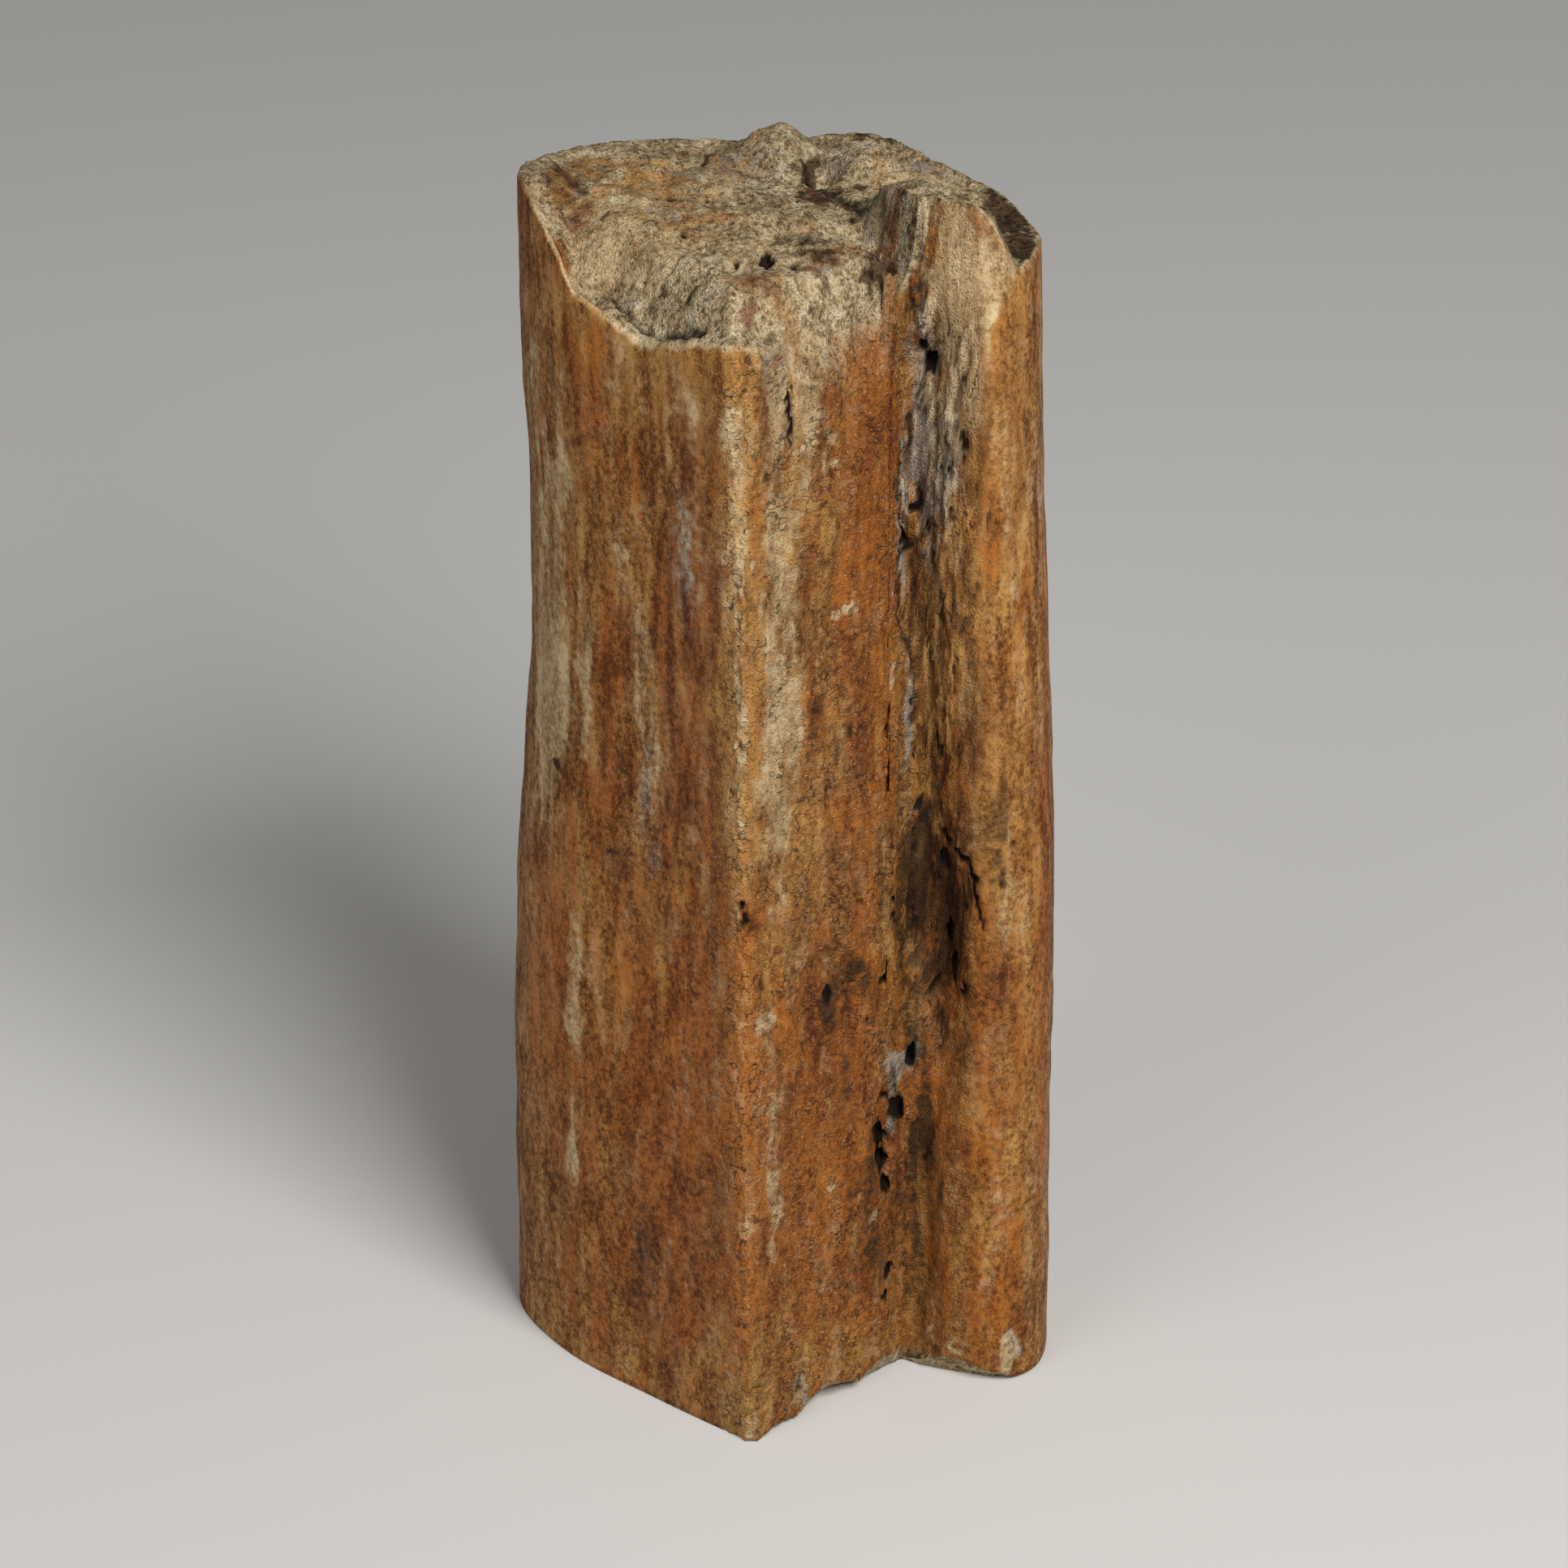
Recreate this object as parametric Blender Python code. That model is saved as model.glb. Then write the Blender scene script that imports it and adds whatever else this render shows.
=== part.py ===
# A broken length of a duck-billed dinosaur's fossil limb shaft, standing on its lower break.
#
# The shaft is one solid piece of stone-hard bone. Its section is a blunt wedge: a smooth left face and a
# flaked right face meet in a ridge at the front, and a groove parts the right face from a round column.
# Both ends are broken. The upper break has a scoop at the front, a peak, a lump, a cleft and a spire, and
# the lower break is ground flat enough to stand on.
#
# The frame: +X is to the right, +Y goes back, +Z is up along the bone. The origin is under the middle of
# the bone's box, on the surface that it stands on.

import bpy
import numpy as np
from mathutils import Vector, noise

MM = 0.001

# Heights along the bone, in millimetres
HEAD_Z = 150.0          # where the head outline is measured
BREAK_Z = 153.2         # level of the upper break over the middle of the section
ROWS = 40               # rings of faces between the two breaks

# The section at the foot and at the head, in millimetres, clockwise from the ridge as seen from above.
# Each line: name, (x, y) at the foot, (x, y) at the head, faces as far as the next name.
SECTION = (
    ("ridge", (-4.1, -30.4), (-6.1, -30.0), 2),
    ("ridge shoulder", (-7.4, -27.6), (-10.2, -26.4), 4),
    ("left face", (-16.6, -19.7), (-17.6, -19.0), 5),
    ("left turn", (-27.4, -9.4), (-26.4, -9.6), 6),
    ("left side", (-33.9, 3.0), (-31.8, 4.5), 6),
    ("left back", (-31.6, 14.4), (-29.4, 15.8), 5),
    ("back left", (-22.2, 24.8), (-20.0, 25.2), 5),
    ("back", (-4.0, 28.4), (-3.0, 29.6), 6),
    ("back right", (14.4, 27.0), (13.4, 27.6), 6),
    ("right back", (27.2, 17.4), (25.2, 17.8), 6),
    ("right side", (33.2, 1.0), (30.3, 1.5), 6),
    ("column edge", (31.8, -13.0), (28.8, -10.6), 5),
    ("column crest", (26.4, -16.8), (24.4, -15.6), 5),
    ("column flank", (20.2, -15.2), (19.4, -14.4), 5),
    ("groove", (15.2, -13.2), (15.2, -12.4), 4),
    ("lip", (12.4, -16.2), (12.4, -15.6), 4),
    ("second edge", (8.6, -19.6), (8.0, -20.6), 7),
    ("front face", (1.4, -25.4), (-0.4, -26.4), 5),
    ("ridge foot", (-2.0, -28.6), (-3.8, -28.8), 4),
)

# Swellings of the sides along the bone: height of the middle, half length, amount, all in millimetres
LEFT_WAIST = (103.0, 30.0, 1.9)
LEFT_BELLY = (50.0, 36.0, 0.5)
RIGHT_BELLY = (70.0, 42.0, 1.2)

# Forms on the sides: centre, radii, depth in millimetres, and how soft the edge is. A depth below nought
# stands out, a soft edge of 1 is a smooth dent, and one near 0 is the ledge round a flake scar.
SIDE_FORMS = (
    ("recess in the groove", (19.0, -13.0, 65.0), (5.5, 6.0, 15.0), 2.2, 0.8),
    ("flake scar beside the ridge", (5.5, -22.0, 57.0), (6.0, 6.0, 8.5), 1.3, 0.4),
    ("dent on the ridge", (-3.5, -30.0, 71.0), (2.4, 4.0, 4.5), 1.0, 1.0),
    ("pit at the head of the lip", (15.2, -12.5, 140.0), (1.9, 4.0, 3.2), 1.6, 0.6),
    ("pits at the foot of the lip", (12.6, -15.2, 36.0), (1.6, 4.0, 9.0), 1.3, 0.6),
    ("muscle line on the left back", (-27.0, 19.5, 74.0), (3.6, 6.0, 62.0), -1.1, 1.0),
    ("flat along the back", (7.0, 29.0, 84.0), (15.0, 6.0, 62.0), 1.2, 0.7),
    ("flake scar low on the right back", (26.0, 17.5, 26.0), (9.0, 10.0, 17.0), 1.7, 0.25),
    ("flake scar at the head of the back", (-13.0, 27.0, 147.0), (10.0, 7.0, 12.0), 1.6, 0.25),
    ("nick in the right side", (32.5, 5.0, 106.0), (5.0, 6.0, 7.0), 0.9, 0.5),
    ("vessel groove in the left back", (-18.0, 25.0, 96.0), (1.8, 5.0, 24.0), 0.8, 1.0),
)

# The scoop behind the front edge of the upper break: x, depth, and how far back it runs
SCOOP = (
    (-33.0, 0.0, 6.0),
    (-29.0, 1.0, 7.0),
    (-27.0, 3.0, 10.0),
    (-25.0, 7.0, 13.0),
    (-20.3, 8.2, 13.0),
    (-16.4, 9.6, 11.0),
    (-8.5, 5.0, 9.0),
    (-5.7, 4.4, 8.0),
    (1.3, 6.6, 7.0),
    (7.0, 7.2, 8.5),
    (12.6, 8.6, 5.0),
)

# Lumps (up) and pits (down) of the upper break: (x, y), radii, height, in millimetres
BREAK_FORMS = (
    ("peak", (-1.0, 21.0), (6.0, 6.5), 5.0),
    ("right lump", (12.5, 18.5), (9.0, 9.0), 3.5),
    ("shoulder behind the column", (16.0, 1.0), (6.0, 9.5), 5.0),
    ("back edge", (8.0, 27.5), (8.0, 6.0), 2.2),
    ("pit beside the peak", (4.8, 15.0), (2.4, 2.8), -3.2),
    ("low corner behind the column", (25.0, 6.0), (7.0, 9.0), -1.6),
    ("marrow pit", (-1.8, -6.0), (2.6, 2.6), -2.0),
    ("left pit", (-14.5, 11.0), (2.4, 2.0), -1.6),
    ("hollow below the spire", (8.6, -6.0), (4.0, 4.0), -1.6),
    ("left corner", (-30.0, 4.0), (4.5, 9.0), 1.6),
)

# The cleft between the plateau and the column: its two ends, half width and depth
CLEFT = ((14.2, -13.5), (8.4, -3.0), 1.3, 3.0)

# The spire in which the column ends: two of its walls, its right end, its top and how fast that falls
SPIRE_FLANK = ((15.8, -12.5), (7.4, 1.0))
SPIRE_BACK = ((7.4, 1.0), (28.0, -5.5))
SPIRE_RIGHT_X = 28.0
SPIRE_TOP_Z = 159.4
SPIRE_TOP_X = 21.0
SPIRE_FALL = 0.22      # drop in millimetres per square millimetre to the right of its top
SPIRE_BACK_FALL = 0.12  # drop in millimetres per millimetre behind its front
SPIRE_FRONT_Y = -12.0
SPIRE_LEAN = 3.2        # how far the column leans back over its last stretch

# The chipped front rim of the lower break: x, height, and how far in it slopes down to the ground
FOOT_RIM = (
    (-34.0, 0.0, 2.0),
    (-3.4, 0.0, 2.0),
    (-0.8, 0.8, 3.0),
    (1.6, 0.5, 3.0),
    (3.2, 2.0, 3.6),
    (5.3, 3.6, 4.4),
    (7.5, 2.6, 4.0),
    (9.6, 1.7, 3.0),
    (12.4, 3.8, 3.0),
    (17.0, 3.0, 1.8),
    (22.0, 3.1, 1.6),
    (26.0, 1.9, 1.6),
    (29.0, 0.4, 1.6),
    (34.0, 0.0, 1.6),
)

# Hollows in the lower break, which is flat land between them: (x, y), radii, height, in millimetres
FOOT_HOLLOWS = (
    ("marrow hollow", (7.0, -2.0), (10.0, 7.5), 4.0),
    ("scar at the back", (9.0, 25.0), (11.0, 7.0), 2.4),
    ("scar at the left", (-31.0, 12.0), (6.0, 8.0), 1.6),
    ("pit behind the ridge", (-8.0, -17.0), (5.0, 4.0), 1.8),
    ("pit at the left back", (-12.0, 17.0), (5.0, 3.5), 1.5),
)

# Roughness of the breaks and the sides, in millimetres
BREAK_GRAIN = 0.9
SIDE_GRAIN = 0.25
EDGE_WANDER = 0.35      # how far the edges of the forms wander, as a share of their size

# How far out each ring of a break lies, and its number of faces as a share of a full ring
BREAK_RINGS = ((0.955, 1), (0.885, 1), (0.80, 1), (0.70, 2), (0.58, 2), (0.45, 2), (0.31, 4), (0.16, 8))
FOOT_RINGS = ((0.94, 1), (0.85, 1), (0.72, 2), (0.57, 2), (0.41, 4), (0.22, 4))
BREAK_MIDDLE = (-1.0, 1.0)

# Colour of the stone, as linear red, green and blue, and its roughness
BONE_COLOUR = (0.30, 0.145, 0.062, 1.0)
BONE_ROUGHNESS = 0.62

FOOT_OUTLINE = np.array([row[1] for row in SECTION])
HEAD_OUTLINE = np.array([row[2] for row in SECTION])


def bump(value, middle, half_width):
    """A smooth hill of height one."""
    return np.exp(-((value - middle) / half_width) ** 2)


def ease(value):
    """Goes smoothly from nought to one, and stays there."""
    held = np.clip(value, 0.0, 1.0)
    return held * held * (3.0 - 2.0 * held)


def grain(points, size, seed):
    """Soft random relief between about minus one and one, with lumps of the given size."""
    shift = Vector((seed * 17.3, seed * 5.1, seed * 9.7))
    values = [noise.fractal(Vector(point) / size + shift, 0.7, 2.0, 3) for point in points]
    return np.array(values)


def columns():
    """For each line of faces up the side: the four names around it, and its place between the middle two."""
    places = []
    for index, row in enumerate(SECTION):
        count = row[3]
        around = [(index + step) % len(SECTION) for step in (-1, 0, 1, 2)]
        places += [(around, step / count) for step in range(count)]
    return places


def section(height):
    """The named points of the section at each height, in millimetres."""
    share = (height / HEAD_Z)[..., None, None]
    points = FOOT_OUTLINE + (HEAD_OUTLINE - FOOT_OUTLINE) * share
    reach = points[..., 0] / 33.0
    waist, left_belly, right_belly = (
        amount * bump(height, middle, half_length)[..., None]
        for middle, half_length, amount in (LEFT_WAIST, LEFT_BELLY, RIGHT_BELLY))
    points[..., 0] += reach * np.where(reach < 0, left_belly - waist, right_belly)
    return points


def curve_between(p0, p1, p2, p3, place):
    """A point on the smooth curve from p1 to p2 that doesn't swing out between close points."""
    def step(start, end):
        return np.sqrt(np.linalg.norm(end - start, axis=-1, keepdims=True))

    t1 = step(p0, p1)
    t2 = t1 + step(p1, p2)
    t3 = t2 + step(p2, p3)
    t = t1 + (t2 - t1) * place
    a1 = (t1 - t) / t1 * p0 + t / t1 * p1
    a2 = (t2 - t) / (t2 - t1) * p1 + (t - t1) / (t2 - t1) * p2
    a3 = (t3 - t) / (t3 - t2) * p2 + (t - t2) / (t3 - t2) * p3
    b1 = (t2 - t) / t2 * a1 + t / t2 * a2
    b2 = (t3 - t) / (t3 - t1) * a2 + (t - t1) / (t3 - t1) * a3
    return (t2 - t) / (t2 - t1) * b1 + (t - t1) / (t2 - t1) * b2


def outline(height):
    """Points around the bone, one for each column. height has one value for each column."""
    places = columns()
    around = np.array([place[0] for place in places])
    share = np.array([place[1] for place in places])[:, None]
    points = section(height)
    lines = np.arange(len(places))
    corners = [points[lines, around[:, step]] for step in range(4)]
    return curve_between(*corners, share)


def outward(ring):
    """Unit vectors pointing out of a closed ring of points."""
    along = np.roll(ring, -1, axis=0) - np.roll(ring, 1, axis=0)
    across = np.stack([-along[:, 1], along[:, 0]], axis=1)
    return across / np.linalg.norm(across, axis=1, keepdims=True)


def front_edge(x):
    """How far forward the head's outline reaches at x."""
    names = ["left side", "left turn", "left face", "ridge", "front face", "second edge", "lip"]
    points = {row[0]: row[2] for row in SECTION}
    return np.interp(x, [points[name][0] for name in names], [points[name][1] for name in names])


def right_of(line, x, y):
    """How far points lie to the right of a line, seen from above along it."""
    (start_x, start_y), (end_x, end_y) = line
    run_x, run_y = end_x - start_x, end_y - start_y
    return ((x - start_x) * run_y - (y - start_y) * run_x) / np.hypot(run_x, run_y)


def cleft_depth(x, y):
    start, end = np.array(CLEFT[0]), np.array(CLEFT[1])
    run = end - start
    place = np.clip(((x - start[0]) * run[0] + (y - start[1]) * run[1]) / (run @ run), 0.0, 1.0)
    away = np.hypot(x - start[0] - place * run[0], y - start[1] - place * run[1])
    return CLEFT[3] * (1.0 - 0.75 * place) * bump(away, 0.0, CLEFT[2])


def break_height(x, y):
    """Height of the upper break over each point of the section."""
    level = BREAK_Z - 0.085 * x - 0.12 * np.maximum(y, 0.0)
    stations = np.array(SCOOP)
    depth = np.interp(x, stations[:, 0], stations[:, 1], right=0.0)
    run = np.interp(x, stations[:, 0], stations[:, 2])
    level -= depth * (1.0 - ease((y - front_edge(x)) / run))
    for _, (middle_x, middle_y), (radius_x, radius_y), height in BREAK_FORMS:
        away = np.hypot((x - middle_x) / radius_x, (y - middle_y) / radius_y)
        level += height * (1.0 - ease(away / 1.3))
    level -= cleft_depth(x, y)
    spire = SPIRE_TOP_Z - SPIRE_FALL * np.maximum(x - SPIRE_TOP_X, 0.0) ** 2
    spire -= SPIRE_BACK_FALL * np.maximum(y - SPIRE_FRONT_Y, 0.0)
    inside = ease(right_of(SPIRE_FLANK, x, y) / 1.2) * ease((SPIRE_RIGHT_X - x) / 1.6)
    inside = inside * ease(right_of(SPIRE_BACK, x, y) / 3.0)
    return level + np.maximum(spire - level, 0.0) * inside


def foot_height(x, y):
    """Height of the lower break over each point of the section."""
    stations = np.array(FOOT_RIM)
    rim = np.interp(x, stations[:, 0], stations[:, 1])
    run = np.interp(x, stations[:, 0], stations[:, 2])
    inward = y - np.interp(x, FOOT_FRONT[:, 0], FOOT_FRONT[:, 1])
    chipped = rim * np.clip(1.0 - inward / run, 0.0, 1.0) * (y < 0.0)
    points = np.column_stack([x, y, np.zeros(len(x))])
    wander = 1.0 + EDGE_WANDER * grain(points, 8.0, 13)
    height = chipped
    for _, (middle_x, middle_y), (radius_x, radius_y), rise in FOOT_HOLLOWS:
        away = np.hypot((x - middle_x) / radius_x, (y - middle_y) / radius_y) * wander
        height = np.maximum(height, rise * ease(1.6 * (1.0 - away)))
    return height


FOOT_FRONT = np.array(sorted(
    row[1] for row in SECTION if row[1][1] < 0.0 or row[0] in ("left side", "right side")))


def side_depth(points):
    """How far the side is set in at each point, from the list of its forms."""
    depth = np.zeros(len(points))
    wander = 1.0 + EDGE_WANDER * grain(points, 8.0, 11)
    for _, middle, radii, amount, softness in SIDE_FORMS:
        away = np.linalg.norm((points - np.array(middle)) / np.array(radii), axis=1) * wander
        depth += amount * ease((1.0 - away) / softness)
    return depth


def side_ring(share):
    """One ring of the side: share is nought at the lower rim and one at the upper rim."""
    height = np.full(len(columns()), 0.5 * HEAD_Z)
    for _ in range(3):
        plan = outline(height)
        low = foot_height(plan[:, 0], plan[:, 1])
        high = break_height(plan[:, 0], plan[:, 1])
        height = low + (high - low) * share
    lean = SPIRE_LEAN * ease((height - 138.0) / 24.0)
    column = ease((plan[:, 0] - 14.0) / 3.0) * ease((2.0 - plan[:, 1]) / 6.0)
    points = np.column_stack([plan, height])
    inward = side_depth(points) - SIDE_GRAIN * grain(points, 14.0, 3)
    inward *= ease(min(share, 1.0 - share) * 12.0)
    points[:, :2] -= outward(plan) * inward[:, None]
    points[:, 1] += lean * column
    return points


def break_ring(rim, share, skip):
    """A ring of the upper break between its rim and its middle."""
    plan = np.array(BREAK_MIDDLE) + (rim[::skip, :2] - np.array(BREAK_MIDDLE)) * share
    height = break_height(plan[:, 0], plan[:, 1])
    points = np.column_stack([plan, height])
    points[:, 2] += BREAK_GRAIN * grain(points, 5.0, 7)
    return points


def foot_ring(rim, share, skip):
    """A ring of the lower break between its rim and its middle."""
    plan = np.array(BREAK_MIDDLE) + (rim[::skip, :2] - np.array(BREAK_MIDDLE)) * share
    return np.column_stack([plan, foot_height(plan[:, 0], plan[:, 1])])


def join_rings(first, second):
    """Triangles between two rings of vertex numbers. The second has as many as the first, or a share."""
    ratio = len(first) // len(second)
    faces = []
    for index in range(len(first)):
        here, there = first[index], first[(index + 1) % len(first)]
        inner = second[((index + ratio // 2) // ratio) % len(second)]
        next_inner = second[((index + 1 + ratio // 2) // ratio) % len(second)]
        faces.append((there, here, inner))
        if next_inner != inner:
            faces.append((next_inner, there, inner))
    return faces


def add_ring(vertices, points):
    start = len(vertices)
    vertices.extend(tuple(point * MM) for point in points)
    return list(range(start, start + len(points)))


def cap(vertices, faces, rim_numbers, rim_points, rings, make_ring, turned):
    """Closes one end with rings that have fewer faces towards the middle."""
    outer = rim_numbers
    for share, skip in rings:
        inner = add_ring(vertices, make_ring(rim_points, share, skip))
        faces.extend(triangle[::turned] for triangle in join_rings(outer, inner))
        outer = inner
    middle = add_ring(vertices, make_ring(rim_points[:1], 0.0, 1))[0]
    for index, number in enumerate(outer):
        faces.append((outer[(index + 1) % len(outer)], number, middle)[::turned])


def bone_mesh():
    vertices = []
    faces = []
    rings = [side_ring(row / ROWS) for row in range(ROWS + 1)]
    numbers = [add_ring(vertices, ring) for ring in rings]
    for lower, upper in zip(numbers, numbers[1:]):
        faces.extend(join_rings(lower, upper))
    cap(vertices, faces, numbers[-1], rings[-1], BREAK_RINGS, break_ring, 1)
    cap(vertices, faces, numbers[0], rings[0], FOOT_RINGS, foot_ring, -1)
    mesh = bpy.data.meshes.new("fossil_bone")
    mesh.from_pydata(vertices, [], faces)
    mesh.update()
    return mesh


def bone_material():
    material = bpy.data.materials.new("mineralised bone")
    material.use_nodes = True
    shader = material.node_tree.nodes["Principled BSDF"]
    shader.inputs["Base Color"].default_value = BONE_COLOUR
    shader.inputs["Roughness"].default_value = BONE_ROUGHNESS
    shader.inputs["Metallic"].default_value = 0.0
    material.diffuse_color = BONE_COLOUR
    return material


def main():
    for thing in list(bpy.data.objects):
        bpy.data.objects.remove(thing)
    mesh = bone_mesh()
    mesh.materials.append(bone_material())
    bone = bpy.data.objects.new("fossil_bone", mesh)
    collection = bpy.data.collections.new("fossil limb bone")
    bpy.context.scene.collection.children.link(collection)
    collection.objects.link(bone)


main()
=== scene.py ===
# %% [markdown]
# A broken length of a duck-billed dinosaur's limb shaft, turned to stone and standing on its lower break.
# The solid model of it is loaded first and stays as it is. Everything below dresses that model: a fine skin
# with the same form, the fibres, pores and chips on it, and the stains that the ground left in the bone.

# %% Load the solid model
import math

import bpy
import numpy as np
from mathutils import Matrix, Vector, noise


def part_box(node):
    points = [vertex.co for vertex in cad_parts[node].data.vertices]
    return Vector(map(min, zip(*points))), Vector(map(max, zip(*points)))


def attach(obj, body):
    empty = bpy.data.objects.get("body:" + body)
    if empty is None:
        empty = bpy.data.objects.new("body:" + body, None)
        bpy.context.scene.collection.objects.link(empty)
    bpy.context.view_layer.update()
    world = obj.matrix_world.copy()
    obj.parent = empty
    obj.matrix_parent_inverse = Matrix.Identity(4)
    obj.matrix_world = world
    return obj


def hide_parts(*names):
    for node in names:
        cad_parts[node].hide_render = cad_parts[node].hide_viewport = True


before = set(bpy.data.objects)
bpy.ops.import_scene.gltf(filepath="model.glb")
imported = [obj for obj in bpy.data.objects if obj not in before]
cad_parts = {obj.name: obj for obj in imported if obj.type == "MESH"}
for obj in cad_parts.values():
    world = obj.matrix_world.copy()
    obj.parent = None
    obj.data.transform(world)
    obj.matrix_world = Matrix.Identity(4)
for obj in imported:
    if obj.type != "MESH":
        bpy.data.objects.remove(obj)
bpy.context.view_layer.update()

MM = 0.001

# %% [markdown]
# The camera comes first, because it says how much of each face is seen. The photograph looks down on the
# bone a little, from far off: its vertical edges stay almost parallel, and a wide oval of the upper break
# shows. A long lens at a distance gives that. The distance follows from the height of the picture.

# %% Camera
ELEVATION = math.radians(28.0)
LENS = 160.0                      # focal length, mm
SENSOR = 36.0                     # sensor width, mm
PICTURE = 193.2                   # what the picture's side covers at the bone, mm
AIM = (0.0, 0.0, 76.8)            # the point in the middle of the picture, mm

camera = bpy.data.objects.new("camera", bpy.data.cameras.new("camera"))
camera.data.lens = LENS
camera.data.sensor_width = SENSOR
distance = PICTURE * LENS / SENSOR
camera.location = (AIM[0] * MM,
                   (AIM[1] - distance * math.cos(ELEVATION)) * MM,
                   (AIM[2] + distance * math.sin(ELEVATION)) * MM)
camera.rotation_euler = (math.pi / 2 - ELEVATION, 0.0, 0.0)
camera.data.clip_start = 0.05
bpy.context.scene.collection.objects.link(camera)
bpy.context.scene.camera = camera
print("camera stands", round(distance), "mm from the bone")

# %% [markdown]
# The skin follows the rule that the solid follows. The shaft's section is a closed line through named
# points: the ridge, the left face, the back, the round column and the groove beside it. Each point has a
# place at the foot and a place at the head, and the section between them is a blend of the two. The skin
# needs many more columns than the solid, so that fibres half a millimetre wide can be modelled in it.

# %% The section of the shaft
HEAD_Z = 150.0                    # where the head outline is measured
SIDE_ROWS = 184                   # rings of faces between the two breaks

# Name, (x, y) at the foot, (x, y) at the head in mm, and faces of the skin as far as the next name.
# The faces are narrowest in the groove and on the front, where the fibres show.
SECTION = (
    ("ridge", (-4.1, -30.4), (-6.1, -30.0), 13),
    ("ridge shoulder", (-7.4, -27.6), (-10.2, -26.4), 30),
    ("left face", (-16.6, -19.7), (-17.6, -19.0), 32),
    ("left turn", (-27.4, -9.4), (-26.4, -9.6), 32),
    ("left side", (-33.9, 3.0), (-31.8, 4.5), 20),
    ("left back", (-31.6, 14.4), (-29.4, 15.8), 22),
    ("back left", (-22.2, 24.8), (-20.0, 25.2), 30),
    ("back", (-4.0, 28.4), (-3.0, 29.6), 28),
    ("back right", (14.4, 27.0), (13.4, 27.6), 25),
    ("right back", (27.2, 17.4), (25.2, 17.8), 27),
    ("right side", (33.2, 1.0), (30.3, 1.5), 25),
    ("column edge", (31.8, -13.0), (28.8, -10.6), 18),
    ("column crest", (26.4, -16.8), (24.4, -15.6), 16),
    ("column flank", (20.2, -15.2), (19.4, -14.4), 17),
    ("groove", (15.2, -13.2), (15.2, -12.4), 16),
    ("lip", (12.4, -16.2), (12.4, -15.6), 19),
    ("second edge", (8.6, -19.6), (8.0, -20.6), 25),
    ("front face", (1.4, -25.4), (-0.4, -26.4), 13),
    ("ridge foot", (-2.0, -28.6), (-3.8, -28.8), 8),
)
FOOT_OUTLINE = np.array([row[1] for row in SECTION])
HEAD_OUTLINE = np.array([row[2] for row in SECTION])

# Swellings of the sides: height of the middle, half length, amount
LEFT_WAIST = (103.0, 30.0, 1.9)
LEFT_BELLY = (50.0, 36.0, 0.5)
RIGHT_BELLY = (70.0, 42.0, 1.2)
REACH = 33.0                      # half the bone's width, for sharing a swelling out over a side
print(len(SECTION), "named points go round the section")

# %% [markdown]
# Three small functions shape nearly everything below. A bump is a hill, ease is a soft step, and grain is
# random relief from Blender's own noise: the same place and seed always give the same value, so the bone
# comes out the same each time. A subdivided cylinder with displace modifiers could be used instead, but a
# rule that is worked out in numbers can be read, measured and shared with the solid.

# %% Bumps, soft steps and random relief
SEED_STEP = (17.3, 5.1, 9.7)      # how far each seed moves the noise, in lumps
ROUGHNESS_FALL = 0.7              # how quickly the finer lumps get lower
FINER = 2.0                       # how many times finer each octave's lumps are


def bump(value, middle, half_width):
    """A smooth hill of height one."""
    return np.exp(-((value - middle) / half_width) ** 2)


def ease(value):
    """Goes smoothly from nought to one, and stays there."""
    held = np.clip(value, 0.0, 1.0)
    return held * held * (3.0 - 2.0 * held)


def grain(points, size, seed, octaves=3, stretch=1.0):
    """Random relief between about minus one and one. Its lumps are longer along the bone by stretch."""
    shift = np.array(SEED_STEP) * seed
    places = points / np.array([size, size, size * stretch]) + shift
    return np.array([noise.fractal(place, ROUGHNESS_FALL, FINER, octaves) for place in places])


print("half way up a soft step is", ease(0.5), "and the middle of a hill is", bump(0.0, 0.0, 1.0))

# %% Columns round the shaft
columns = []
for index, row in enumerate(SECTION):
    around = [(index + step) % len(SECTION) for step in (-1, 0, 1, 2)]
    columns += [(around, step / row[3]) for step in range(row[3])]
NAMES_AROUND = np.array([place[0] for place in columns])
COLUMN_SHARE = np.array([place[1] for place in columns])[:, None]


def curve_between(p0, p1, p2, p3, place):
    """A point on the smooth curve from p1 to p2 that doesn't swing out between close points."""
    def step(start, end):
        return np.sqrt(np.linalg.norm(end - start, axis=-1, keepdims=True))

    t1 = step(p0, p1)
    t2 = t1 + step(p1, p2)
    t3 = t2 + step(p2, p3)
    t = t1 + (t2 - t1) * place
    a1 = (t1 - t) / t1 * p0 + t / t1 * p1
    a2 = (t2 - t) / (t2 - t1) * p1 + (t - t1) / (t2 - t1) * p2
    a3 = (t3 - t) / (t3 - t2) * p2 + (t - t2) / (t3 - t2) * p3
    b1 = (t2 - t) / t2 * a1 + t / t2 * a2
    b2 = (t3 - t) / (t3 - t1) * a2 + (t - t1) / (t3 - t1) * a3
    return (t2 - t) / (t2 - t1) * b1 + (t - t1) / (t2 - t1) * b2


def outline(height):
    """Points around the bone, one for each column. height has one value for each column."""
    share = (height / HEAD_Z)[:, None, None]
    points = FOOT_OUTLINE + (HEAD_OUTLINE - FOOT_OUTLINE) * share
    reach = points[..., 0] / REACH
    waist, left_belly, right_belly = (
        amount * bump(height, middle, half_length)[:, None]
        for middle, half_length, amount in (LEFT_WAIST, LEFT_BELLY, RIGHT_BELLY))
    points[..., 0] += reach * np.where(reach < 0, left_belly - waist, right_belly)
    lines = np.arange(len(columns))
    corners = [points[lines, NAMES_AROUND[:, step]] for step in range(4)]
    return curve_between(*corners, COLUMN_SHARE)


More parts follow.
